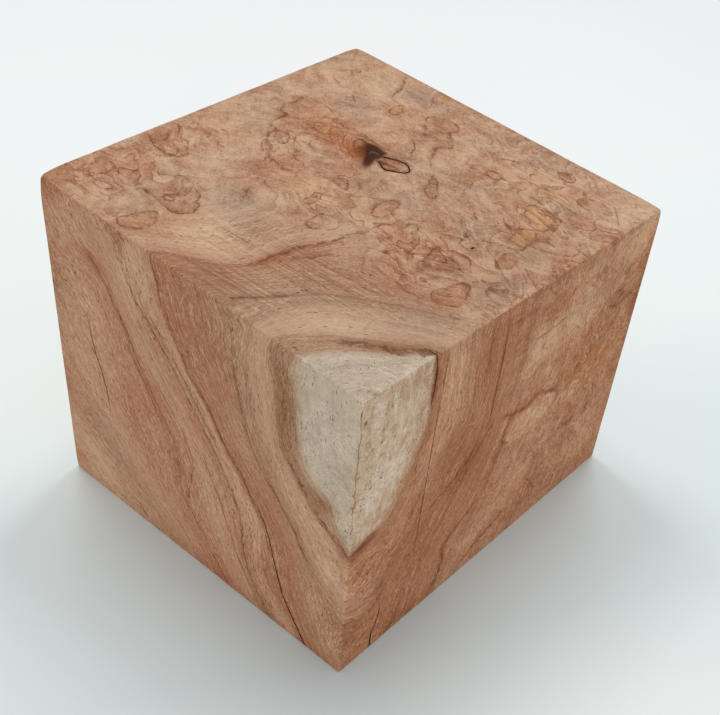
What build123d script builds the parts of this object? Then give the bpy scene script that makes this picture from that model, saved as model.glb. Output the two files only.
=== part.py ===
from build123d import *
import os

# A turning blank sawn from one piece of burl wood: a block that is nearly a cube and a little out of square.
# Lengths are in millimetres. The base lies on z = 0 and the front face looks along -Y.
# The front left corner is square, the right and back faces are skewed, and the top falls to the right.

# Sawn sizes
FRONT_WIDTH = 137.0
BACK_WIDTH = 143.5
LEFT_DEPTH = 153.5
RIGHT_DEPTH = 151.0
LEFT_HEIGHT = 129.0
RIGHT_HEIGHT = 118.0
EDGE_EASE = 0.4
CUT_OVERRUN = 1.0

# Drying checks: how far each one gapes at its widest place and how deep it runs.
# A check closes inwards to this share of its gape.
CHECK_ROOT_SHARE = 0.25
FRONT_UPPER_GAPE = 0.45
FRONT_UPPER_DEPTH = 6.0
FRONT_LOWER_GAPE = 0.6
FRONT_LOWER_DEPTH = 9.0
SAPWOOD_SEAM_GAPE = 0.6
SAPWOOD_SEAM_DEPTH = 3.0
RIGHT_FOOT_GAPE = 0.8
RIGHT_FOOT_DEPTH = 8.0
HAIRLINE_GAPE = 0.3
HAIRLINE_DEPTH = 3.0

# Each point of a check: share of the face's width, share of its height, share of the gape.
# A check whose last point lies past the face runs out over that edge.
FRONT_UPPER_SHARES = (
    (0.130, 0.660, 0.0),
    (0.140, 0.589, 0.7),
    (0.151, 0.527, 1.0),
    (0.169, 0.473, 0.9),
    (0.181, 0.426, 1.0),
    (0.188, 0.345, 0.0),
)
FRONT_LOWER_SHARES = (
    (0.721, 0.395, 0.0),
    (0.743, 0.353, 0.5),
    (0.760, 0.310, 0.6),
    (0.775, 0.248, 0.8),
    (0.790, 0.194, 0.9),
    (0.808, 0.136, 0.8),
    (0.838, 0.085, 1.0),
    (0.867, 0.039, 1.0),
    (0.901, -0.020, 1.0),
)
SAPWOOD_SEAM_SHARES = (
    (0.193, 1.030, 0.8),
    (0.201, 0.980, 0.8),
    (0.204, 0.940, 1.0),
    (0.203, 0.890, 0.9),
    (0.200, 0.847, 0.0),
)
RIGHT_FOOT_SHARES = (
    (0.121, 0.180, 0.0),
    (0.116, 0.127, 0.5),
    (0.109, 0.089, 0.6),
    (0.099, 0.068, 0.8),
    (0.098, 0.034, 1.0),
    (0.099, -0.025, 1.0),
)
RIGHT_LONG_SHARES = (
    (0.231, 0.890, 0.0),
    (0.228, 0.805, 0.9),
    (0.226, 0.720, 1.0),
    (0.223, 0.610, 1.0),
    (0.221, 0.466, 1.0),
    (0.219, 0.381, 0.8),
    (0.217, 0.271, 0.0),
)
RIGHT_MIDDLE_SHARES = (
    (0.435, 0.958, 0.0),
    (0.431, 0.881, 0.9),
    (0.431, 0.814, 1.0),
    (0.429, 0.746, 0.9),
    (0.425, 0.600, 0.0),
)

# The knot in the top: a small pit, and a tongue of wood beside it that a check has parted from the rest.
# The tongue's points are shares of its length and width, from the middle of the pit, and of the gape.
KNOT_PLACE_SHARES = (0.408, 0.626)
KNOT_LENGTH = 4.6
KNOT_WIDTH = 3.8
KNOT_DEPTH = 2.6
TONGUE_LENGTH = 15.0
TONGUE_WIDTH = 9.0
TONGUE_GAPE = 1.1
TONGUE_DEPTH = 3.5
TONGUE_SHARES = (
    (0.03, 0.27, 0.0),
    (0.12, 0.06, 0.6),
    (0.25, 0.17, 1.0),
    (0.41, 0.31, 0.8),
    (0.56, 0.43, 0.7),
    (0.70, 0.47, 0.8),
    (0.82, 0.43, 0.7),
    (0.92, 0.30, 0.6),
    (1.00, 0.14, 0.7),
    (0.97, -0.06, 0.6),
    (0.87, -0.21, 0.8),
    (0.75, -0.33, 1.0),
    (0.63, -0.48, 0.9),
    (0.51, -0.48, 0.9),
    (0.40, -0.38, 0.7),
    (0.29, -0.27, 0.6),
    (0.18, -0.29, 0.0),
)

# Pin pits in the burl figure of the top: share of its width, share of its depth, share of the largest pit's size.
PIN_PIT_LENGTH = 2.0
PIN_PIT_WIDTH = 1.1
PIN_PIT_DEPTH = 1.6
PIN_PIT_SHARES = ((0.798, 0.514, 1.0), (0.107, 0.900, 0.8), (0.716, 0.278, 0.5), (0.502, 0.357, 0.55))
PIT_ROOT_SHARE = 0.45

# Plan corners and face frames that follow from the sawn sizes
half_width = max(FRONT_WIDTH, BACK_WIDTH) / 2
half_depth = max(LEFT_DEPTH, RIGHT_DEPTH) / 2
front_left = Vector(-half_width, -half_depth)
front_right = front_left + Vector(FRONT_WIDTH, 0)
back_left = front_left + Vector(0, LEFT_DEPTH)
back_right = front_left + Vector(BACK_WIDTH, RIGHT_DEPTH)
right_run = back_right - front_right
top_fall = LEFT_HEIGHT - RIGHT_HEIGHT

front_face = Plane(front_left, x_dir=(1, 0, 0), z_dir=(0, -1, 0))
right_face = Plane(front_right, x_dir=right_run, z_dir=(right_run.Y, -right_run.X, 0))
top_face = Plane(
    front_left + Vector(0, 0, LEFT_HEIGHT),
    x_dir=(2 * half_width, 0, -top_fall),
    z_dir=(top_fall, 0, 2 * half_width),
)
front_size = (FRONT_WIDTH, LEFT_HEIGHT)
right_size = (RIGHT_DEPTH, RIGHT_HEIGHT)
top_size = (BACK_WIDTH, LEFT_DEPTH)


def sawn_block():
    """The plan raised past the top, cut along the sloping top, with every edge eased."""
    plan = Polygon(front_left, front_right, back_right, back_left)
    post = extrude(plan, amount=max(LEFT_HEIGHT, RIGHT_HEIGHT) + CUT_OVERRUN)
    block = split(post, bisect_by=top_face, keep=Keep.BOTTOM)
    return fillet(block.edges(), EDGE_EASE)


def check_outline(points, gapes, scale):
    """The mouth of a check: its centre line opened to both sides by half of the gape at each point."""
    last = len(points) - 1
    left, right = [], []
    for i, (point, gape) in enumerate(zip(points, gapes)):
        run = points[min(i + 1, last)] - points[max(i - 1, 0)]
        side = Vector(-run.Y, run.X).normalized() * (gape * scale / 2)
        left.append(point + side)
        if gape > 0:
            right.append(point - side)
    return Polygon(*left, *reversed(right))


def drying_check(face, size, shares, gape, depth, start=Vector(0, 0)):
    """A wedge of air along the check's path, from just outside the face down to its narrow root."""
    points = [start + Vector(size[0] * across, size[1] * up) for across, up, _ in shares]
    gapes = [gape * share for _, _, share in shares]
    mouth = face.offset(CUT_OVERRUN) * check_outline(points, gapes, 1)
    root = face.offset(-depth) * check_outline(points, gapes, CHECK_ROOT_SHARE)
    return loft([mouth, root], ruled=True)


def oval_pit(place, length, width, depth):
    """An oval pit in the top that narrows to its floor."""
    spot = Pos(place.X, place.Y)
    mouth = top_face.offset(CUT_OVERRUN) * spot * Ellipse(length / 2, width / 2)
    floor = top_face.offset(-depth) * spot * Ellipse(
        length * PIT_ROOT_SHARE / 2, width * PIT_ROOT_SHARE / 2
    )
    return loft([mouth, floor])


def on_top(shares):
    """A place on the top, measured from its front left corner."""
    return Vector(top_size[0] * shares[0], top_size[1] * shares[1])


def front_checks():
    return [
        drying_check(front_face, front_size, FRONT_UPPER_SHARES, FRONT_UPPER_GAPE, FRONT_UPPER_DEPTH),
        drying_check(front_face, front_size, FRONT_LOWER_SHARES, FRONT_LOWER_GAPE, FRONT_LOWER_DEPTH),
    ]


def right_checks():
    hairlines = [
        drying_check(right_face, right_size, shares, HAIRLINE_GAPE, HAIRLINE_DEPTH)
        for shares in (RIGHT_LONG_SHARES, RIGHT_MIDDLE_SHARES)
    ]
    return hairlines + [
        drying_check(right_face, right_size, SAPWOOD_SEAM_SHARES, SAPWOOD_SEAM_GAPE, SAPWOOD_SEAM_DEPTH),
        drying_check(right_face, right_size, RIGHT_FOOT_SHARES, RIGHT_FOOT_GAPE, RIGHT_FOOT_DEPTH),
    ]


def knot():
    """The pit of the knot and the check around its tongue."""
    middle = on_top(KNOT_PLACE_SHARES)
    tongue_size = (TONGUE_LENGTH, TONGUE_WIDTH)
    return [
        oval_pit(middle, KNOT_LENGTH, KNOT_WIDTH, KNOT_DEPTH),
        drying_check(top_face, tongue_size, TONGUE_SHARES, TONGUE_GAPE, TONGUE_DEPTH, middle),
    ]


def pin_pits():
    """The largest pit and the same pit made smaller."""
    return [
        oval_pit(on_top(place), PIN_PIT_WIDTH * place[2], PIN_PIT_LENGTH * place[2], PIN_PIT_DEPTH * place[2])
        for place in PIN_PIT_SHARES
    ]


wood_block = sawn_block()
for opening in front_checks() + right_checks() + knot() + pin_pits():
    wood_block -= opening

os.makedirs("parts", exist_ok=True)
export_step(wood_block, "parts/wood_block.step")
print("wood_block", wood_block.bounding_box().size, "volume", round(wood_block.volume))
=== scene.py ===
# %% [markdown]
# # A sawn block of burl wood
# The object is one turning blank: a block sawn from burl wood, with a corner of pale sapwood, drying checks
# and a small knot in its top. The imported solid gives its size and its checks. This lesson dresses that
# solid with a worn skin and with a wood whose figure runs through the block from face to face.

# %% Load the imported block
import math

import bmesh
import bpy
import numpy as np
from mathutils import Matrix, Vector


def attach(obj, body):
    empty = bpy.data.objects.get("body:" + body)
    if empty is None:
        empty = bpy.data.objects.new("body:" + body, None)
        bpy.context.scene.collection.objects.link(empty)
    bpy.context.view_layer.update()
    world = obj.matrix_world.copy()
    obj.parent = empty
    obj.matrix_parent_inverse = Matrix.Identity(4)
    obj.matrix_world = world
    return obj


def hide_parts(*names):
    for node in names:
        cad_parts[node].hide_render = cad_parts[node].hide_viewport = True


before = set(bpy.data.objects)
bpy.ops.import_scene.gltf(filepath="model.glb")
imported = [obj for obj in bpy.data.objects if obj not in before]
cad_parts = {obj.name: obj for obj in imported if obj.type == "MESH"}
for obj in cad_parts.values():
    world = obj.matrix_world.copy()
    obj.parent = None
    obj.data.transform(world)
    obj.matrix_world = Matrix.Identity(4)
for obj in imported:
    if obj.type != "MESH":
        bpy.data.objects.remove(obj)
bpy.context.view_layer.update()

MM = 0.001
block_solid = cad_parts["wood_block"]

# %% [markdown]
# ## The six saw cuts
# The block is a little out of square, so its faces are measured rather than assumed. Each face is a plane:
# the mean of the large triangles that look roughly along one axis, weighted by area. The walls of the
# checks look that way too in places, but their triangles are small. Three planes at a time meet in the
# eight corners.

# %% Measure the sawn faces
FACE_AXES = {
    "right": (0, 1), "back": (1, 1), "top": (2, 1),
    "left": (0, -1), "front": (1, -1), "base": (2, -1),
}
FACE_LEAN = math.radians(8)
LARGE_TRIANGLE = 60 * MM * MM


def triangles_of(mesh):
    """The corner points of each triangle of a mesh, as an array of triangle, corner and coordinate."""
    mesh.calc_loop_triangles()
    corners = np.empty(len(mesh.loop_triangles) * 3, dtype=np.int64)
    mesh.loop_triangles.foreach_get("vertices", corners)
    points = np.empty(len(mesh.vertices) * 3)
    mesh.vertices.foreach_get("co", points)
    return points.reshape(-1, 3)[corners.reshape(-1, 3)]


def sawn_faces(mesh):
    """Each face's outward normal and its distance from the origin, from its large triangles."""
    triangles = triangles_of(mesh)
    cross = np.cross(triangles[:, 1] - triangles[:, 0], triangles[:, 2] - triangles[:, 0])
    areas = np.linalg.norm(cross, axis=1) / 2
    faces = {}
    for name, (axis, side) in FACE_AXES.items():
        facing = side * cross[:, axis] > 2 * areas * math.cos(FACE_LEAN)
        picked = facing & (areas > LARGE_TRIANGLE)
        normal = cross[picked].sum(0)
        normal /= np.linalg.norm(normal)
        faces[name] = (normal, np.average(triangles[picked].mean(1) @ normal, weights=areas[picked]))
    return faces


faces = sawn_faces(block_solid.data)
for name, (normal, reach) in faces.items():
    print(f"{name}: normal {np.round(normal, 3)}, {reach / MM:.2f} mm out")

# %% [markdown]
# ## The skin
# A sawn block keeps crisp edges that are only rubbed a little, and a few corners are bruised. A bevel would
# round every edge alike, so the skin is worked out instead: a grid on all six sides of a box, with its
# edges rolled over by a radius that wanders along the edge and grows at a bruised corner. The box is then
# fitted between the eight corners.

# %% Lay a grid over a box
CELL = 1.18 * MM
EDGE_RADIUS = 0.5 * MM
EDGE_TURNS = np.radians([45, 30, 15])
SKIN_INSET = 0.03 * MM


def corner_points(faces, inset):
    """The eight corners, as an array of left or right, front or back, base or top, and coordinate."""
    sides = (("left", "right"), ("front", "back"), ("base", "top"))
    corners = np.empty((2, 2, 2, 3))
    for i, j, k in np.ndindex(2, 2, 2):
        cuts = [faces[sides[0][i]], faces[sides[1][j]], faces[sides[2][k]]]
        corners[i, j, k] = np.linalg.solve([cut[0] for cut in cuts], [cut[1] - inset for cut in cuts])
    return corners


def grid_lines(length):
    """Places along one side of the box: even cells, with three close lines on each rolled edge."""
    edge = EDGE_RADIUS * (1 - np.tan(EDGE_TURNS))
    cells = round((length - 2 * EDGE_RADIUS) / CELL)
    middle = np.linspace(EDGE_RADIUS, length - EDGE_RADIUS, cells + 1)
    return np.concatenate((edge, middle, length - edge[::-1]))


def side_lattice(counts, axis, end):
    """Line numbers of the points on one side of the box, as a grid along the two other axes."""
    first, second = (axis + 1) % 3, (axis + 2) % 3
    lattice = np.empty((counts[first], counts[second], 3), dtype=np.int64)
    lattice[..., axis] = end * (counts[axis] - 1)
    lattice[..., first] = np.arange(counts[first])[:, None]
    lattice[..., second] = np.arange(counts[second])
    return lattice


def side_quads(keys, end):
    """The quads of one side, wound so that they face outwards."""
    quads = np.stack((keys[:-1, :-1], keys[1:, :-1], keys[1:, 1:], keys[:-1, 1:]), axis=-1).reshape(-1, 4)
    return quads if end else quads[:, ::-1]


def box_grid(lines):
    """Points and quads of the whole box: the six sides share the points along their edges."""
    counts = [len(places) for places in lines]
    lattices, quads = [], []
    for axis in range(3):
        for end in (0, 1):
            lattice = side_lattice(counts, axis, end)
            keys = (lattice[..., 0] * counts[1] + lattice[..., 1]) * counts[2] + lattice[..., 2]
            lattices.append(np.column_stack((keys.ravel(), lattice.reshape(-1, 3))))
            quads.append(side_quads(keys, end))
    keys, first_seen = np.unique(np.concatenate([rows[:, 0] for rows in lattices]), return_index=True)
    numbers = np.concatenate([rows[:, 1:] for rows in lattices])[first_seen]
    points = np.stack([lines[axis][numbers[:, axis]] for axis in range(3)], axis=1)
    return points, np.searchsorted(keys, np.concatenate(quads))


corners = corner_points(faces, SKIN_INSET)
box_size = np.array([
    np.linalg.norm(corners[1] - corners[0], axis=-1).mean(),
    np.linalg.norm(corners[:, 1] - corners[:, 0], axis=-1).mean(),
    np.linalg.norm(corners[:, :, 1] - corners[:, :, 0], axis=-1).mean(),
])
box_points, quads = box_grid([grid_lines(length) for length in box_size])
print("skin grid:", len(box_points), "points,", len(quads), "quads")

# %% Roll the edges over and fit the block
# Bruised corners: which end of each axis the corner is at, how far it is dubbed and how far that reaches.
BRUISES = (
    ((0, 0, 1), 1.5 * MM, 5 * MM),
    ((0, 1, 1), 0.7 * MM, 4 * MM),
    ((1, 1, 1), 0.8 * MM, 4 * MM),
    ((0, 0, 0), 0.4 * MM, 4 * MM),
)
EDGE_WANDER = 0.16 * MM
WANDER_WAVES = (9.0 * MM, 4.1 * MM, 17.0 * MM)
WANDER_PULLS = np.array([1.0, 1.37, 0.81])


def edge_radius(points, size):
    """An edge's roll at each point: a base radius, waves along it, and a bell at each bruised corner."""
    radius = np.full(len(points), EDGE_RADIUS)
    for number, wave in enumerate(WANDER_WAVES):
        phase = (points / wave) @ WANDER_PULLS + number
        radius += EDGE_WANDER / len(WANDER_WAVES) * (1 + np.sin(phase))
    for ends, depth, reach in BRUISES:
        distance = np.linalg.norm(points - size * np.array(ends), axis=1)
        radius += depth * np.exp(-(distance / reach) ** 2)
    return radius


def roll_edges(points, size, radius):
    """Draws each point in to a box smaller by the radius, then pushes it out again by the radius."""
    inner = np.clip(points, radius[:, None], size - radius[:, None])
    outwards = points - inner
    return inner + outwards * (radius / np.linalg.norm(outwards, axis=1))[:, None]


def fit_between(points, size, corners):
    """Blends the eight corners by the shares of each point along the three sides of its box."""
    shares = points / size
    ends = np.stack((1 - shares, shares), axis=-1)
    return np.einsum("ni,nj,nk,ijkc->nc", ends[:, 0], ends[:, 1], ends[:, 2], corners)


rolled = roll_edges(box_points, box_size, edge_radius(box_points, box_size))
skin_points = fit_between(rolled, box_size, corners)
skin_mesh = bpy.data.meshes.new("block_skin")
skin_mesh.from_pydata(skin_points.tolist(), [], quads.tolist())
skin = bpy.data.objects.new("block_skin", skin_mesh)
bpy.context.scene.collection.objects.link(skin)
print("skin reach, millimetres:", np.round(np.ptp(skin_points, axis=0) / MM, 2))

# %% [markdown]
# ## The checks, the knot pit and the pin pits
# The solid already holds every split as a real wedge. The skin lies just inside the solid's faces, so what
# the two have in common is the worn skin with the solid's own splits cut into it. The copy of the solid
# carries a dark material of its own, partly painted shade, and the walls of the splits keep it.

# %% Cut the skin with the solid
SHARP_EDGE = math.radians(40)
WELD_GAP = 0.001 * MM
wood = bpy.data.materials.new("figured_burl")
split_wall = bpy.data.materials.new("split_wall")
skin.data.materials.append(wood)


def closed_copy(solid, material):
    """A copy of the solid whose loose triangles are joined into a closed mesh."""
    mesh = solid.data.copy()
    edit = bmesh.new()
    edit.from_mesh(mesh)
    bmesh.ops.remove_doubles(edit, verts=edit.verts, dist=WELD_GAP)
    edit.to_mesh(mesh)
    edit.free()
    mesh.materials.clear()
    mesh.materials.append(material)
    copy = bpy.data.objects.new("solid_copy", mesh)
    bpy.context.scene.collection.objects.link(copy)
    return copy


def common_part(piece, solid):
    """The mesh of what a piece and a closed solid share."""
    cut = piece.modifiers.new("splits", "BOOLEAN")
    cut.operation = "INTERSECT"
    cut.solver = "MANIFOLD"
    cut.object = solid
    cut.material_mode = "TRANSFER"
    return bpy.data.meshes.new_from_object(piece.evaluated_get(bpy.context.evaluated_depsgraph_get()))


solid_copy = closed_copy(block_solid, split_wall)
block_mesh = common_part(skin, solid_copy)
bpy.data.objects.remove(solid_copy)
bpy.data.objects.remove(skin)
block_mesh.name = "burl_block"
block = bpy.data.objects.new("burl_block", block_mesh)
bpy.context.scene.collection.objects.link(block)
block_mesh.polygons.foreach_set("use_smooth", np.ones(len(block_mesh.polygons), dtype=bool))
block_mesh.set_sharp_from_angle(angle=SHARP_EDGE)
block_mesh.calc_loop_triangles()
slots = np.empty(len(block_mesh.polygons), dtype=np.int32)
block_mesh.polygons.foreach_get("material_index", slots)
print("block:", len(block_mesh.loop_triangles), "triangles, slots", [m.name for m in block_mesh.materials])
print("faces of the split walls:", int((slots == 1).sum()), "of", len(slots))

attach(block, "root")
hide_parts("wood_block")

# %% [markdown]
# ## Growth
# Wood is laid down in shells, and every band on a sawn face is one shell met by the saw. So the bands of
# the three faces in view belong together, and one field through the whole block can hold them: the depth
# below the sapwood. The lines of growth were traced on the three faces, each with its depth in
# millimetres. The left face isn't in view, and its lines carry on from the front. A smooth field through
# all of them carries the bands over the edges and on to the other hidden faces, as a solid piece of wood
# would.

# %% Trace the lines of growth
# Each line: face, depth of growth, and its points. A point on the top is x and y, on the front and the back
# x and z, on the right and the left y and z, all in millimetres.
FACE_COORDINATES = {"top": (0, 1), "front": (0, 2), "right": (1, 2), "back": (0, 2), "left": (1, 2)}
GROWTH_LINES = (
    ("front", -8, (
        (40.3, 117), (40.4, 110), (41.8, 105), (42.4, 99), (43, 92), (44.2, 86.8), (45.4, 82), (47.5, 78.8),
        (51, 77.2), (55, 76.4), (58, 73.6), (58.9, 69.8), (59.3, 66), (61.4, 62.9), (65, 58.8)
    )),
    ("front", 0, (
        (29.5, 117), (30.5, 111), (32.3, 104.5), (33.8, 96), (34.4, 90), (36.7, 84.7), (40, 79.5),
        (44.4, 74.3), (48.5, 69.3), (52.2, 65.5), (56, 63), (60, 60.3), (65, 55.6)
    )),
    ("front", 12, (
        (25, 118), (25, 100), (26, 92), (28, 85), (30.5, 79), (34, 72), (37, 66), (41, 60), (45, 54),
        (48.5, 48), (51, 43), (54.5, 39), (60, 36), (66, 33)
    )),
    ("front", 18, (
        (16, 119), (16.4, 102), (17.3, 97.6), (18.6, 92.3), (20.3, 85.3), (22.5, 79.2), (26, 73),
        (29.5, 67.8), (33.9, 62.6), (38.2, 57.4), (42.6, 52), (45.2, 47.8), (47.8, 44), (52, 38), (56, 33),
        (61, 29), (66, 26)
    )),
    ("front", 28, (
        (2, 120), (5, 108), (10, 96), (15, 86), (20, 78), (26, 69), (31, 62), (36, 55), (40, 48),
        (42.6, 43.5), (44.9, 38.2), (47, 33), (50, 20), (56, 5)
    )),
    ("front", 45, (
        (-18.6, 124), (-16.8, 118.8), (-14.5, 109.6), (-12.6, 105), (-10.8, 100.4), (-8.5, 96.7),
        (-5.7, 92), (-3.4, 87.5), (0, 84.5), (2.5, 81.8), (5.1, 79.2), (7.7, 74.9), (10.3, 70.5),
        (12.9, 67), (16.4, 63.5), (19.8, 60), (22.5, 55.7), (26, 51.3), (29.9, 46.1), (32.1, 40.9),
        (33, 36.5), (34.7, 30.4), (36.5, 24.3), (38.2, 19.1), (40.4, 14.7), (43, 9.9), (46.1, 5.6),
        (49.5, 1.7)
    )),
    ("front", 54, (
        (-33, 126), (-29, 116), (-25, 107), (-20, 100), (-12, 91), (-5, 79), (0, 70.5), (3.4, 67.9),
        (7.7, 62.6), (10.3, 57.8), (12.9, 54.4), (16.4, 47.8), (19, 43.5), (20.3, 38.2), (20.3, 33),
        (21.2, 27.8), (22, 21.7), (23.3, 17.4), (26, 13), (29.5, 7.8), (33.8, 2.6)
    )),
    ("front", 61, (
        (-45, 127), (-39, 116), (-34, 108), (-30, 100), (-26, 94), (-20, 87), (-14, 80), (-9, 73), (-3, 65),
        (3, 56), (8, 49), (11.5, 42), (13, 35), (15.5, 28), (19, 19), (23, 11), (28, 2)
    )),
    ("front", 69, ((-9, 66), (-4, 57), (0, 48), (3, 38), (6, 29), (10, 21), (15, 12), (20, 3))),
    ("front", 78, (
        (-53, 111), (-46, 107), (-40.7, 102), (-36.9, 92), (-32.4, 84.7), (-29.6, 77.3), (-25.9, 73),
        (-22, 66), (-14, 57), (-9.5, 48), (-8.5, 38), (-7, 29.4), (-3.7, 23), (1, 17), (8, 8), (14, 1)
    )),
    ("front", 95, (
        (-71, 95), (-62, 82), (-55, 70), (-48, 57), (-42, 46), (-34, 35), (-25, 25), (-15, 14), (-5, 3)
    )),
    ("front", 110, ((-70, 46), (-62, 38.5), (-55, 34), (-44.5, 27.6), (-35, 20.2), (-26, 12), (-15.8, 4))),
    ("front", 122, ((-70, 24), (-60, 17), (-50, 10), (-40, 3))),
    ("right", -8, (
        (-47.3, 118), (-46.6, 110), (-46.4, 103), (-46.5, 97), (-47.6, 91), (-50.8, 85.5), (-55, 78),
        (-58.5, 70), (-60.8, 65), (-64, 62), (-68, 60.8), (-72, 59.8), (-76, 58.8)
    )),
    ("right", 0, (
        (-44, 118), (-43.8, 110), (-43.3, 103), (-43.5, 95), (-45, 87), (-47.5, 80), (-51, 73), (-55, 65.5),
        (-59, 59.5), (-64, 57), (-70, 56), (-76, 55.3)
    )),
    ("right", 12, (
        (-32, 118), (-30.5, 108), (-30, 98), (-29.7, 90), (-30.5, 83), (-34, 77.5), (-40, 68.5),
        (-44.5, 60), (-49, 52.5), (-54, 45), (-59, 38), (-63, 32), (-70, 30), (-76, 32)
    )),
    ("right", 18, (
        (-25, 118), (-25.5, 100), (-24.5, 84), (-29, 74), (-35, 66), (-38.5, 58.5), (-43, 51),
        (-47.5, 43.5), (-53, 36), (-57, 29), (-62, 22), (-70, 20), (-76, 24)
    )),
    ("right", 30, (
        (-14, 118), (-14, 100), (-13, 85), (-16.5, 66), (-23, 55), (-31, 44), (-38, 30), (-44, 15),
        (-48, 2)
    )),
    ("right", 45, ((0, 118), (0, 95), (-3, 75), (-8, 58), (-14, 44), (-21, 30), (-27, 18), (-30, 6))),
    ("right", 70, ((32, 118), (30, 90), (24, 60), (14, 30), (6, 4))),
    ("right", 95, ((68, 118), (66, 80), (58, 40), (48, 4))),
    ("top", -8, (
        (66, -46.5), (63, -49.5), (59.3, -54.2), (55, -59), (50.5, -62.8), (46.7, -66.8), (44.5, -70.6),
        (42.8, -74), (41.7, -76.5)
    )),
    ("top", 0, (
        (65.5, -43.5), (58, -50), (52, -54), (47, -58), (42, -62), (38, -66), (34.5, -71), (31, -76.5)
    )),
    ("top", 12, (
        (66, -32), (60, -35.5), (52, -39.5), (44, -45), (38, -48.5), (33, -51.5), (29, -56), (26.5, -62),
        (25.5, -69), (25, -76.5)
    )),
    ("top", 18, (
        (67, -25), (58, -31), (50, -36), (40.1, -41.2), (35.2, -47.2), (30, -51), (25, -56), (20, -62.1),
        (15.9, -68.1), (13.2, -71.8), (11, -75.3)
    )),
    ("top", 34, (
        (67, -11), (52, -20), (36, -26), (23, -29), (17, -34.6), (14.8, -38.4), (12.9, -42.3), (11, -47),
        (10.4, -53), (9, -59), (4, -67), (-5, -74), (-7, -76.5)
    )),
    ("top", 45, (
        (68, 1), (50, -7), (32, -12), (18, -15), (12.4, -22), (12.6, -27.4), (10.7, -33), (8, -39.5),
        (6.6, -43), (5.6, -48), (5.2, -53.8), (3.3, -60.4), (0, -64), (-7.1, -68.4), (-13.7, -72.5),
        (-19, -76.3)
    )),
    ("top", 54, ((-2, -26), (-4, -40), (-6.5, -52), (-11, -60), (-18, -66), (-26, -71.5), (-33, -76.5))),
    ("top", 78, ((-30, -28), (-38, -50), (-50, -65), (-64, -76))),
    ("left", 95, ((-76, 96), (-50, 105), (-20, 114), (15, 124))),
    ("left", 112, ((-76, 43), (-45, 57), (-10, 72), (30, 89), (75, 106))),
    ("left", 135, ((-76, 11), (-45, 25), (-10, 42), (30, 60), (75, 79))),
    ("left", 155, ((-50, 2), (-10, 17), (30, 33), (75, 53))),
    ("left", 175, ((-15, 1), (30, 11), (75, 29))),
)


def on_face(name, places):
    """Points in metres from two coordinates in millimetres: the third follows from the face's plane."""
    first, second = FACE_COORDINATES[name]
    third = 3 - first - second
    normal, reach = faces[name]
    points = np.empty((len(places), 3))
    points[:, [first, second]] = np.array(places, dtype=float) * MM
    points[:, third] = (reach - points[:, [first, second]] @ normal[[first, second]]) / normal[third]
    return points


growth_points = np.concatenate([on_face(name, places) for name, _, places in GROWTH_LINES]) / MM
growth_levels = np.concatenate(
    [np.full(len(places), level, dtype=float) for _, level, places in GROWTH_LINES]
)
print("traced growth:", len(GROWTH_LINES), "lines,", len(growth_points), "points")

# %% Fill the block with growth
GROWTH_SOFTNESS = 8.0
GROWTH_SLACK = 0.6
# Past the last traced line the bands rise and fall by turns, so that the hidden faces are banded too.
LAST_TRACED = 104.0
FOLD_REACH = 30.0
vertex_places = np.empty(len(block_mesh.vertices) * 3)
block_mesh.vertices.foreach_get("co", vertex_places)
vertex_places = vertex_places.reshape(-1, 3)
places_mm = vertex_places / MM


def hill(first, second):
    """The root of squared distance plus squared softness, between two sets of points."""
    squared = (first**2).sum(1)[:, None] + (second**2).sum(1) - 2 * first @ second.T
    return np.sqrt(np.maximum(squared, 0) + GROWTH_SOFTNESS**2)


def smooth_field(points, levels, places):
    """A plane plus a sum of hills centred on the points, weighted so that it takes each point's level."""
    count = len(points)
    flat = np.column_stack((np.ones(count), points))
    system = np.zeros((count + 4, count + 4))
    system[:count, :count] = hill(points, points) - GROWTH_SLACK * np.eye(count)
    system[:count, count:] = flat
    system[count:, :count] = flat.T
    weights = np.linalg.solve(system, np.concatenate((levels, np.zeros(4))))
    plane = np.column_stack((np.ones(len(places)), places)) @ weights[count:]
    return hill(places, points) @ weights[:count] + plane


def keep_values(name, values):
    """Stores one number, or three, for each vertex of the block."""
    kind, field = ("FLOAT", "value") if values.ndim == 1 else ("FLOAT_VECTOR", "vector")
    block_mesh.attributes.new(name, kind, "POINT").data.foreach_set(field, values.ravel().astype(np.float32))


growth = smooth_field(growth_points, growth_levels, places_mm)
beyond = np.maximum(growth - LAST_TRACED, 0)
growth = np.minimum(growth, LAST_TRACED) + FOLD_REACH * np.sin(beyond / FOLD_REACH)
keep_values("growth", growth)
print("growth runs from", round(growth.min(), 1), "to", round(growth.max(), 1), "mm")
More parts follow.
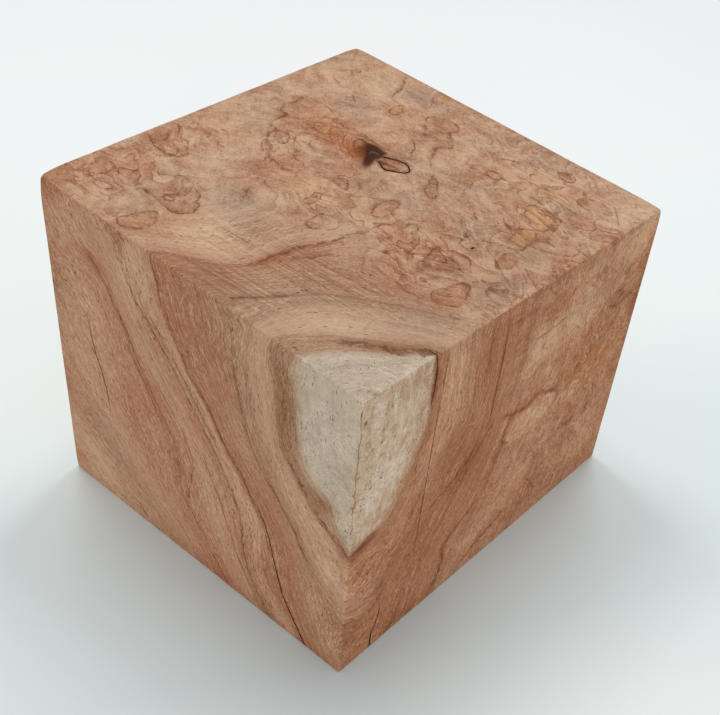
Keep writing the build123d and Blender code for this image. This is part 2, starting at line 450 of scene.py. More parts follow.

# %% [markdown]
# ## Burl lines
# On the top and the far part of the right face the fibres swirl, and the saw cuts them into closed patches
# with dark rims, like a contour map. The larger rims were traced. Each traced line becomes a signed
# distance, stored on the vertices: a distance changes evenly from point to point, so a line stays sharp
# between them, where a painted vertex would blur. Lines that come close to each other are kept in separate
# channels. The back must hold burl too, and no photograph shows it, so it is given the top's figure, turned
# on its side.

# %% Trace the rims of the patches
# Each patch: face, weight of its rim, how much deeper, warmer and yellower it is, and its outline.
PATCHES = (
    ("top", 0.55, 0.34, 0.1, 0.0, (
        (7.4, 25.5), (9.6, 24.7), (11.5, 23.3), (13.7, 20.9), (15.9, 18.1), (17.8, 14), (15.9, 13.4),
        (13.4, 14.8), (11.8, 16.7), (10.4, 19.8), (9, 22.8)
    )),
    ("top", 0.55, -0.04, 0.1, 0.4, (
        (40.4, 38.5), (42.3, 39.3), (46.7, 37.6), (49.7, 37.6), (51.6, 36.3), (53, 30.8), (51.1, 28),
        (48.9, 26.6), (46.7, 27.5), (45.1, 30.2), (42.3, 31.9), (40.1, 36)
    )),
    ("top", 0.5, 0.22, 0.0, 0.34, (
        (48.6, 25.2), (46.2, 22.8), (46.8, 19), (47.3, 16), (48.5, 13.3), (51, 12), (52.9, 13.5),
        (52.9, 17), (52.5, 22), (51, 25.4)
    )),
    ("top", 0.6, 0.0, 0.15, 0.1, (
        (18.4, 44.6), (19.8, 45.8), (22.5, 45.6), (24.3, 44.2), (24.3, 41.8), (22.6, 40.3), (20.4, 40.9),
        (18.8, 42.6)
    )),
    ("top", 0.55, 0.08, 0.4, 0.1, (
        (35.4, 64.4), (38.5, 66.5), (40.7, 65.2), (41.8, 63.2), (40.9, 61.3), (39, 60.8), (37.4, 61.3),
        (35.9, 62.8)
    )),
    ("top", 0.6, 0.16, 0.35, 0.1, (
        (8.1, -1.9), (7.3, -3.3), (7.8, -5.2), (9.7, -8.2), (11.1, -9.1), (12.5, -8.2), (13.8, -6),
        (13.2, -3), (12.4, 1.2), (11, 3.2), (9.2, 2)
    )),
    ("top", 0.65, -0.14, 0.0, 0.15, (
        (21.9, -3.3), (21.6, -6.6), (22.7, -8.8), (24.1, -8.5), (24.9, -6), (24.4, -3.6), (23, -2.3)
    )),
    ("top", 0.6, 0.32, 0.1, 0.0, (
        (35.1, -6), (35.3, -10.4), (35.9, -13.1), (37.3, -16.4), (38.7, -19.1), (40.3, -17), (42.3, -14.5),
        (44.6, -12.6), (46.2, -10.4), (45, -9), (42, -8.4), (38.5, -8)
    )),
    ("top", 0.5, -0.1, 0.1, 0.1, (
        (42.6, -10.7), (43.6, -9.8), (44.6, -10.4), (44.5, -11.6), (43.3, -11.7)
    )),
    ("top", 0.45, -0.05, 0.1, 0.1, (
        (36.8, -16.2), (38.4, -15.4), (39.8, -16.4), (39.2, -17.9), (37.9, -17.6)
    )),
    ("top", 0.4, 0.2, 0.75, 0.0, (
        (51.6, -14.2), (53.8, -14.5), (55.2, -17), (56.6, -20.3), (57.5, -23.6), (56.2, -26.3), (53, -28.3),
        (50.5, -28.9), (48.6, -27.2), (47.9, -25), (48.9, -21.4), (50, -17.6)
    )),
    ("top", 0.45, 0.16, 0.5, 0.0, (
        (52, 9.6), (55.2, 8.6), (56.6, 5), (55.6, 1.4), (53.5, -0.5), (51.6, 3), (51, 7)
    )),
    ("top", 0.6, 0.05, 0.3, 0.05, (
        (-0.3, -21.6), (1.6, -23.2), (3.4, -25.2), (4.5, -27.4), (3.4, -29.9), (1.5, -30.8), (-0.5, -29),
        (-0.9, -25)
    )),
    ("top", 0.5, 0.05, 0.3, 0.2, (
        (25.4, -20.6), (26.3, -19.9), (27.1, -20.8), (26.9, -22.1), (25.9, -22.4)
    )),
    ("top", 0.5, 0.34, 0.15, 0.0, (
        (-11.5, -4.1), (-10.2, -1.6), (-8.4, -0.2), (-6.6, -2), (-4.6, -5), (-6, -6), (-8.8, -5.2)
    )),
    ("top", 0.45, 0.18, 0.4, 0.1, (
        (-9.8, -14.5), (-7.6, -14), (-6.3, -16.5), (-6, -20), (-7.8, -21.4), (-9.4, -20.4), (-9.2, -17.5)
    )),
    ("top", 0.5, 0.3, 0.2, 0.0, (
        (-44.6, 4.2), (-41, 5.2), (-38.6, 3), (-37.4, 0), (-39.4, -1.8), (-42, -0.8), (-43.6, 1.4)
    )),
    ("top", 0.5, -0.02, 0.05, 0.5, (
        (-29.4, 55), (-28, 53.3), (-26.9, 51.7), (-26.1, 49.3), (-26.4, 47.2), (-28.2, 46.3), (-29.7, 47.4),
        (-30.4, 50.6)
    )),
    ("top", 0.0, 0.22, 0.12, 0.1, (
        (-18, 56.8), (-15.5, 51.6), (-12.6, 48), (-9.6, 44.6), (-6.5, 44.2), (-1, 46), (-2.4, 49.8),
        (-5, 53.6), (-5, 57.2), (-8.2, 59.6), (-12, 60.1), (-15.6, 59.6)
    )),
    ("top", 0.0, 0.05, 0.35, 0.35, (
        (-26.2, 76.5), (-25.4, 71.2), (-23.4, 68.4), (-21.6, 70.6), (-21.6, 76.5)
    )),
    ("top", 0.4, 0.04, 0.45, 0.0, (
        (-66, -35.2), (-62.4, -31.6), (-57.6, -31.4), (-54.6, -33.2), (-54.4, -36), (-58, -36.8),
        (-62, -36.6)
    )),
    ("top", 0.0, 0.22, 0.2, 0.0, (
        (-44.4, -44), (-42.4, -41.6), (-40.2, -42), (-38.2, -45.4), (-35, -44.2), (-31.9, -45.3),
        (-29.4, -48), (-26.8, -50.6), (-26.6, -54.6), (-29, -57.4), (-33.4, -57.4), (-38, -56.4),
        (-41.6, -57.4), (-43.6, -52.6), (-43.2, -48)
    )),
    ("top", 0.55, -0.08, 0.1, 0.0, (
        (-38.6, -52.9), (-36.3, -52.2), (-34.5, -53.5), (-35.7, -55.1), (-38, -54.6)
    )),
    ("top", 0.5, 0.16, 0.3, 0.1, (
        (-33.5, -61.9), (-31.3, -62.7), (-28.6, -66), (-28.4, -68.8), (-29.5, -71.2), (-31.3, -73.4),
        (-34.1, -74.5), (-36.8, -74), (-37.6, -72.1), (-36.4, -69), (-35.8, -65.2)
    )),
    ("right", 0.0, -0.26, 0.15, 0.0, (
        (-1.6, 60), (0.6, 65.4), (6, 66), (11.2, 66.2), (15.2, 68), (20.8, 65.4), (26, 63.6), (27, 57),
        (21, 53), (10, 51.6), (2, 53), (-1.6, 56.4)
    )),
    ("right", 0.0, 0.3, 0.05, 0.0, (
        (36.5, 40.8), (41, 39.4), (45.4, 39), (45.4, 36.8), (40.6, 36.4), (36.8, 38)
    )),
    ("right", 0.0, 0.25, 0.1, 0.0, ((50, 41), (55, 40), (55.4, 36.4), (51.4, 36))),
    ("right", 0.0, 0.0, 0.1, 0.1, (
        (30, 66), (36, 70.4), (44, 73.4), (53, 73.4), (61, 71), (60, 64.4), (52, 60.4), (42, 59.4),
        (34, 61)
    )),
    ("right", 0.0, 0.0, 0.1, 0.55, ((62.6, 110.4), (66, 113), (70, 112.4), (69.4, 109), (65, 108))),
)
# Each open line: face, weight, and its points.
LINES = (
    ("top", 0.6, (
        (-44, 74.8), (-42, 71.8), (-40.1, 68.7), (-38.5, 65.4), (-37.4, 62.7), (-37.1, 59.4), (-36, 56.6),
        (-34.3, 55.2), (-32.4, 55), (-30, 55.5)
    )),
    ("top", 0.55, ((-26.6, 76), (-25.8, 71), (-25, 68.7), (-23.6, 66), (-22.5, 63.2))),
    ("top", 0.4, ((-21.6, 76), (-21.4, 71), (-20.9, 67.4))),
    ("top", 0.95, (
        (-18.4, 57), (-17, 53.9), (-15, 50.6), (-12.6, 47.8), (-11, 45.6), (-9.6, 44.2), (-6.5, 43.8)
    )),
    ("top", 0.8, (
        (-14.8, 59.9), (-11.5, 60.5), (-8.2, 59.9), (-6, 58.8), (-4.6, 57.2), (-5.7, 54.4), (-4.6, 52.2),
        (-2.7, 50.6), (-1.3, 48.9), (1, 45), (-1, 42.9), (-1.9, 40.1), (-1, 37.9), (0.6, 34.6), (5, 28.5)
    )),
    ("top", 0.7, ((-59.7, 49.2), (-58.3, 48.6), (-56.1, 48.1), (-54.4, 47), (-53.6, 45.9))),
    ("top", 0.4, ((-60.2, 60.9), (-58.8, 59.4), (-57.2, 58.3), (-55.6, 56.9))),
    ("top", 0.35, ((-46.7, 47.3), (-45.1, 44.5), (-42.9, 42.8), (-40.4, 40.4))),
    ("top", 0.55, (
        (-40.6, 29.6), (-39, 30.6), (-37.9, 29.1), (-37.4, 26.9), (-36, 25), (-34, 25.5), (-31.9, 24.6),
        (-29.7, 26.3), (-25.3, 26.6), (-20, 26), (-16, 25.3)
    )),
    ("top", 0.35, ((-56, 29.6), (-52, 30.4), (-47, 30.8), (-42.6, 30), (-40.6, 28))),
    ("top", 0.95, (
        (-56.4, 29.7), (-55.5, 27.5), (-55, 24.1), (-54.4, 21.4), (-54.7, 15.9), (-52.8, 15.1),
        (-50.8, 14.2), (-50, 12), (-50.8, 9.8), (-50.8, 8.2), (-50, 6.5), (-48.6, 5.2), (-46.2, 3.8),
        (-45.1, 0), (-43.4, -2.2), (-41.8, -3.8), (-39.8, -5.2), (-37.9, -6.6), (-36.3, -8.2), (-35, -9.9),
        (-33.5, -11.3), (-31.3, -11.8), (-28.6, -11.8), (-25.3, -11.8), (-23, -10.7), (-21.1, -9.6)
    )),
    ("top", 0.65, ((-35.2, -10.2), (-34.3, -13.2), (-33.5, -15.9), (-32.1, -18.1), (-30.2, -19.8))),
    ("top", 0.4, ((-43.4, -4.4), (-41.2, -7.7), (-39, -9.3), (-36.8, -11.8))),
    ("top", 0.6, (
        (-46.4, 7.4), (-44.5, 6.8), (-41.8, 7.1), (-39.6, 7), (-38.2, 6.3), (-36.8, 4.3), (-35.5, 2.7),
        (-34.1, 1)
    )),
    ("top", 0.5, ((-33.8, 9.1), (-32.4, 7.7), (-31, 6), (-28.6, 4.8), (-25.8, 4.5))),
    ("top", 0.45, ((-15, 39), (-12.6, 38.5), (-9.8, 37.4), (-7.9, 35.4), (-6.3, 32), (-5.2, 29))),
    ("top", 0.7, ((-27.2, -21.8), (-26.9, -24.2), (-25.8, -25.8))),
    ("top", 0.6, (
        (-25.4, -27.6), (-24.4, -30.8), (-23, -33), (-21.9, -35.2), (-20.6, -37.4), (-20.3, -39)
    )),
    ("top", 0.6, ((-9.9, -22), (-7.1, -21.7), (-5, -22), (-1, -22.3))),
    ("top", 0.6, ((-14.8, -9.6), (-12.6, -9.9), (-11, -11), (-9.6, -12.4))),
    ("top", 0.75, (
        (-62.4, -25.6), (-59.4, -26.1), (-57.7, -26.4), (-56.1, -27.5), (-55, -28.9), (-53.1, -30.5),
        (-51.7, -32.4), (-52.2, -34.4), (-53.6, -36), (-56.1, -37.2), (-59.9, -37.1), (-64.9, -35.7),
        (-69, -34)
    )),
    ("top", 0.6, ((-69, -20.6), (-67.6, -21.4), (-64.9, -23.6), (-62.6, -25.8), (-61.8, -28))),
    ("top", 0.45, ((-60.5, -18.7), (-58.5, -16), (-56.6, -17.6), (-55, -19.7))),
    ("top", 0.6, ((-57.2, -48.4), (-55.5, -49.5), (-54.2, -51.7), (-53.6, -55.6))),
    ("top", 0.55, ((-57.5, -41.6), (-55.5, -43.4), (-53.9, -44.8), (-52.2, -44.1))),
    ("top", 0.5, ((-50.4, -45.7), (-47.8, -47.3), (-45.2, -47.2))),
    ("top", 0.5, ((-64.6, -54.5), (-61, -55), (-57.7, -56.1), (-55, -57))),
    ("top", 0.5, ((-63.8, -60.8), (-63.2, -62.7), (-61.6, -64.1), (-58.6, -64.7))),
    ("top", 0.45, ((-52.5, -63), (-51.7, -65.2), (-50, -66))),
    ("top", 0.55, ((-45.4, -56), (-42.3, -56.7), (-40.5, -57.9))),
    ("top", 0.6, ((-44.6, -45.6), (-44.3, -43), (-42.3, -41.5), (-40.4, -41.8), (-39.6, -44))),
    ("top", 0.65, (
        (-35.2, -43.8), (-31.9, -45.1), (-29.7, -47.8), (-27.3, -49), (-26.1, -52.6), (-26.9, -55),
        (-28.6, -57.2), (-31.3, -57.9), (-34.4, -57.4)
    )),
    ("top", 0.55, ((25.3, 49.2), (28, 49.5), (33, 50), (37.4, 50.6), (39.6, 51.2), (41.2, 53.6))),
    ("top", 0.5, ((44.6, 53.9), (47.3, 53.4), (50, 53.4), (52.2, 52.2), (57, 50.8))),
    ("top", 0.65, (
        (36.4, 41), (37.9, 42.1), (39.6, 42.3), (41.2, 41.8), (44, 41.2), (46.7, 39), (50, 38.8),
        (52.5, 37.7), (53.4, 35.2), (54.2, 33), (54.4, 29.6)
    )),
    ("top", 0.5, ((10, 40.8), (13.2, 41.6), (16, 41.4), (18.2, 42))),
    ("top", 0.5, ((29.6, 13.4), (31.4, 10.9), (33, 9), (33.8, 7.3))),
    ("top", 0.55, ((34.8, 9.7), (36.3, 7.1), (38.2, 5.5), (40.4, 4.1))),
    ("top", 0.45, ((29.6, 19.4), (31.9, 17.9), (33.5, 16.5), (34.4, 14.6))),
    ("top", 0.6, ((38.3, 24.2), (41, 22.4), (44, 20.6), (46.2, 18.8))),
    ("top", 0.55, ((40.2, -4.6), (43.4, -3.4), (46.1, -4.1), (48, -6.8))),
    ("top", 0.5, ((13.4, -17.6), (15, -15.6), (15.6, -11), (17, -8.6), (19.4, -8.6))),
    ("top", 0.5, ((22.4, 3.6), (23.6, 1.2), (23.6, -1.4))),
    ("top", 0.45, ((26, 58.6), (29, 58), (30.4, 56.4), (29.6, 54), (31.2, 51.8))),
    ("top", 0.4, ((14, 52.6), (17, 54.4), (20.6, 56.8), (24, 57.6))),
    ("top", 0.5, ((59.6, 61.6), (62, 58.2), (64, 55.6), (66, 53), (67.6, 50.6))),
    ("top", 0.4, ((60, 47.6), (62.4, 44), (63, 40), (66, 36.6))),
    ("top", 0.4, ((-17, -6), (-13, -4.4), (-11, 0.4), (-6, 2.4), (-2.6, 0), (-1, -3.6))),
    ("top", 0.4, ((-31, -2), (-28, -5), (-24.6, -4.6), (-22.8, -7))),
    ("top", 0.35, ((23, -18), (27, -15.4), (31, -16.4), (33.4, -20))),
    ("top", 0.4, ((29, -29.4), (33, -30.4), (38, -30), (42, -31.2), (46.6, -30.4))),
    ("top", 0.35, ((57, -29), (59, -30.6), (60.4, -29.4), (59.6, -32))),
    ("front", 1.0, (
        (35.4, 87), (36.5, 84.5), (40, 79.2), (44.4, 74), (48.7, 68.8), (52.2, 65.3), (57, 62.6),
        (60.9, 60.4), (65.2, 55.9)
    )),
    ("front", 0.5, (
        (16.2, 104), (17.3, 97.6), (18.6, 92.3), (20.3, 85.3), (22.5, 79.2), (26, 73), (29.5, 67.8),
        (33.9, 62.6), (38.2, 57.4), (42.6, 53), (45.2, 47.8), (47.8, 44.3), (50.6, 40.6)
    )),
    ("front", 0.7, (
        (-18.6, 124), (-16.8, 118.8), (-14.5, 109.6), (-12.6, 105), (-10.8, 100.4), (-8.5, 96.7),
        (-5.7, 92), (-3.4, 87.5), (0, 84.5), (2.5, 81.8), (5.1, 79.2), (7.7, 74.9), (10.3, 70.5),
        (12.9, 67), (16.4, 63.5), (19.8, 60), (22.5, 55.7), (26, 51.3), (29.9, 46.1), (32.1, 40.9)
    )),
    ("top", 2.2, (
        (66.4, -45.4), (63.2, -48.9), (60.4, -51.6), (58.2, -54.1), (55.5, -55.5), (52.7, -57.1),
        (49.5, -59.9), (46.7, -62.1), (43.4, -64.8)
    )),
    ("top", 0.5, ((11, -75.3), (13.2, -71.4), (15.9, -68.1), (18.1, -64.3), (20, -62.1), (22.4, -58.6))),
    ("top", 0.7, (
        (3.3, -60.4), (5, -56), (5.6, -53.8), (5, -50.5), (6, -47.2), (6.9, -44.5), (6.6, -42.3),
        (8, -39.5), (9.3, -36.2), (10.7, -33), (11.8, -30.2), (12.6, -27.4), (12.4, -24.4)
    )),
    ("top", 0.5, ((17, -34.2), (14.8, -38.4), (12.9, -42.3), (11, -45), (10.2, -48.5))),
    ("right", 1.5, ((-47.6, 118.4), (-46.6, 114), (-46.2, 109), (-46.4, 104), (-46.7, 99.6))),
    ("top", 0.4, ((-17, 26), (-21, 25), (-23.4, 22.4), (-22.6, 19), (-19.6, 16.4))),
    ("top", 0.32, ((-20, 25.6), (-26, 24), (-28, 20.6), (-25.6, 16.6), (-20, 13.6), (-15, 11.4))),
    ("top", 0.28, ((-24, 26.6), (-32, 23.6), (-34, 19.6), (-30, 15.4), (-24, 12.6))),
    ("front", 0.5, (
        (-50, 110), (-45, 106), (-41, 101), (-38, 96), (-33, 88), (-30, 82), (-27, 76), (-23, 70),
        (-19, 64), (-14, 57)
    )),
    ("front", 0.4, (
        (-32, 112), (-28, 104.6), (-22, 97.6), (-17, 92.4), (-10, 84.6), (-4, 77), (2, 69.4), (8, 61.4),
        (12.6, 54.6)
    )),
    ("front", 0.4, ((-21, 101), (-15, 94.6), (-10, 88.8), (-5, 82.6), (0, 76.4), (5, 70), (9.6, 63.6))),
    ("front", 0.45, (
        (-8, 62), (-5, 55.6), (-3.4, 50), (-4, 42), (-5.4, 34), (-6.6, 28), (-3, 22), (2, 16), (8, 8),
        (14, 0.6)
    )),
    ("front", 0.6, (
        (12.4, 54.8), (16, 48.2), (18.8, 42), (20, 36), (20.2, 28), (22, 20), (25, 13), (30, 6.2),
        (34.4, 0.6)
    )),
    ("front", 0.4, (
        (2, 56.4), (5, 50.4), (8, 44.2), (11, 37.6), (14, 29.6), (18, 20), (24, 9.6), (29, 1.6)
    )),
    ("front", 0.35, ((-34, 84), (-30, 77), (-26, 71), (-22, 64.6), (-19, 58))),
    ("front", 0.5, ((-35, 8.4), (-31.6, 5.4), (-28.4, 2.4))),
    ("front", 0.45, ((-62, 124.4), (-61.2, 123), (-60.4, 121.6))),
    ("front", 0.4, ((-58, 123), (-55, 120), (-52.6, 117.6), (-50.3, 115.6))),
    ("front", 0.45, ((-30, 109.6), (-28.8, 107.4), (-27.6, 105))),
    ("front", 0.35, ((65, 117), (65, 108), (65, 98), (65, 88), (65, 76), (65, 64))),
    ("right", 0.28, ((-12.4, 117), (-12.2, 108), (-12.2, 98), (-12.6, 86), (-12.6, 74))),
    ("right", 0.3, ((-20, 117), (-19.8, 108), (-20, 98))),
    ("right", 0.5, ((-16, 66), (-22, 61), (-28, 56), (-34, 53.6), (-40, 50.6))),
    ("right", 0.4, ((-9, 72), (-14, 66), (-20, 58), (-26, 47.6), (-32, 37))),
    # A dark line painted along the tongue's split: painted shade that makes the split look wider.
    ("top", 1.6, (
        (-10.8, 20.6), (-8.6, 21.6), (-5.4, 23.2), (-2.6, 23.6), (-0.4, 22.6), (1.4, 20.6), (0.4, 18.2),
        (-2, 16.8), (-4, 15.4), (-6, 15.6), (-8, 17.2), (-9.4, 17.2)
    )),
    ("right", 1.7, ((-77, 57.6), (-74, 58.4), (-71.7, 59), (-67.3, 60.3), (-64.4, 60.6))),
    ("right", 1.25, (
        (-5, 69.6), (-1, 68.8), (0.2, 66), (3.4, 67), (6.9, 66.2), (11.2, 66.6), (15.2, 68.6), (18.7, 67),
        (20.9, 65.8), (25.2, 64.4), (28, 64.6)
    )),
    ("right", 0.85, ((0.2, 66), (-1.2, 61), (-2.5, 58.3), (-0.3, 55.7), (2.4, 53.6))),
    ("right", 1.1, (
        (-10, 36.6), (-12.4, 34.8), (-15.9, 31.8), (-20.3, 29.6), (-24.7, 26), (-27.3, 22.6), (-26, 17.4),
        (-27.3, 11.3), (-29.5, 6), (-30.8, 1.7)
    )),
    ("right", 1.0, ((10, 17), (5, 13.4), (0, 11.3), (-4.6, 10), (-9, 7.8), (-12.4, 5.6), (-15, 3.9))),
    ("right", 0.4, ((5, 96.7), (11, 96.3), (17, 96.7), (24, 97.1))),
    ("right", 0.8, ((52.4, 87.4), (55, 85.9), (60.2, 85), (65, 86), (69.8, 86.3))),
    ("right", 0.7, ((53, 91.5), (57, 92), (60, 90), (62.5, 87.2))),
    ("right", 0.8, ((37, 40.6), (41, 38.8), (45.4, 38.2))),
    ("right", 0.4, ((45.4, 63.4), (46.4, 60), (47.6, 57))),
    ("right", 0.35, ((-49.3, 79.3), (-49.8, 73.2))),
    ("right", 0.9, ((-60.6, 53.4), (-60, 50.9), (-58.8, 49.2))),
    ("right", 0.35, ((-41.3, 117.6), (-41.6, 110), (-41.8, 103))),
    ("right", 0.4, ((20, 24), (24, 20.4), (27, 15.4), (31, 11.4))),
    ("right", 0.4, ((-12, 111), (-8, 110.6), (-4, 110.4))),
)
# How the top's figure is drawn in to fit the back. Lines of the split weight or more are splits, and stay on
# the top.
BACK_ACROSS, BACK_UP, BACK_MIDDLE = 0.88, 0.8, 62.0
SPLIT_WEIGHT = 1.0
CURVE_STEPS = 5


def laid_on_back(places):
    """Points of the top turned by a quarter and drawn in to fit the back."""
    return tuple((-y * BACK_ACROSS, BACK_MIDDLE + x * BACK_UP) for x, y in places)


PATCHES += tuple(("back", *patch[1:-1], laid_on_back(patch[-1])) for patch in PATCHES if patch[0] == "top")
LINES += tuple(
    ("back", line[1], laid_on_back(line[2])) for line in LINES if line[0] == "top" and line[1] < SPLIT_WEIGHT
)


def smooth_path(points, closed):
    """Points along a curve through the traced ones: each span is a cubic steered by its neighbours."""
    if closed:
        around = np.concatenate((points[-1:], points, points[:2]))
    else:
        around = np.concatenate((2 * points[:1] - points[1:2], points, 2 * points[-1:] - points[-2:-1]))
    before, start, end, after = around[:-3], around[1:-2], around[2:-1], around[3:]
    share = np.linspace(0, 1, CURVE_STEPS, endpoint=False)[:, None, None]
    pull = (end - before) / 2
    bend = before - 2.5 * start + 2 * end - after / 2
    twist = 3 * (start - end) + after - before
    curve = start + share * (pull + share * (bend + share * twist / 2))
    return np.concatenate((curve.swapaxes(0, 1).reshape(-1, 3), end[-1:]))


patch_paths = [smooth_path(on_face(patch[0], patch[-1]) / MM, True) for patch in PATCHES]
line_paths = [smooth_path(on_face(line[0], line[-1]) / MM, False) for line in LINES]
print("traced figure:", len(PATCHES), "patches and", len(LINES), "open lines")

# %% Turn the rims into signed distances
CHANNELS = 6
LINE_REACH = 7.0
LINE_TAPER, LEAST_TAPER = 3.0, 0.05
LINE_BEND = 2.0
FAR_AWAY = 99.0


def signed_distance(places, path, normal):
    """Each place's distance to a path, minus on its left; how far along that is; and the path's length."""
    starts, runs = path[:-1], np.diff(path, axis=0)
    lengths = np.linalg.norm(runs, axis=1)
    offsets = places[:, None] - starts
    shares = np.clip((offsets * runs).sum(-1) / lengths**2, 0, 1)
    gaps = offsets - shares[..., None] * runs
    nearest = (gaps**2).sum(-1).argmin(1)
    row = np.arange(len(places))
    gap = gaps[row, nearest]
    side = (gap * np.cross(runs, normal)[nearest]).sum(-1)
    along = np.concatenate(([0], np.cumsum(lengths)))[nearest] + shares[row, nearest] * lengths[nearest]
    return np.linalg.norm(gap, axis=1) * np.where(side < 0, -1, 1), along, lengths.sum()


def near_path(path):
    """Numbers of the vertices in the box around a path."""
    inside = (places_mm > path.min(0) - LINE_REACH) & (places_mm < path.max(0) + LINE_REACH)
    return np.flatnonzero(inside.all(1))


def share_channels(paths):
    """A channel for each path: the one whose other paths lie farthest off."""
    chosen = []
    for number, path in enumerate(paths):
        room = np.full(CHANNELS, FAR_AWAY)
        for other, channel in zip(paths[:number], chosen):
            gap = np.linalg.norm(path[:, None] - other, axis=-1).min()
            room[channel] = min(room[channel], gap)
        chosen.append(int(room.argmax()))
    return chosen


drawn = [(patch[0], patch[1], path, True) for patch, path in zip(PATCHES, patch_paths) if patch[1] > 0]
drawn += [(line[0], line[1], path, False) for line, path in zip(LINES, line_paths)]
channels = np.full((CHANNELS, len(places_mm)), FAR_AWAY)
for (name, weight, path, closed), channel in zip(drawn, share_channels([item[2] for item in drawn])):
    picked = near_path(path)
    distance, along, length = signed_distance(places_mm[picked], path, faces[name][0])
    taper = 1.0 if closed else np.clip(np.minimum(along, length - along) / LINE_TAPER, LEAST_TAPER, 1)
    value = distance * (1 + (distance / LINE_BEND) ** 2) / (weight * taper)
    closer = abs(value) < abs(channels[channel, picked])
    channels[channel, picked[closer]] = value[closer]
keep_values("line_a", channels[:3].T.copy())
keep_values("line_b", channels[3:].T.copy())
print("lines drawn:", len(drawn), "in", CHANNELS, "channels")
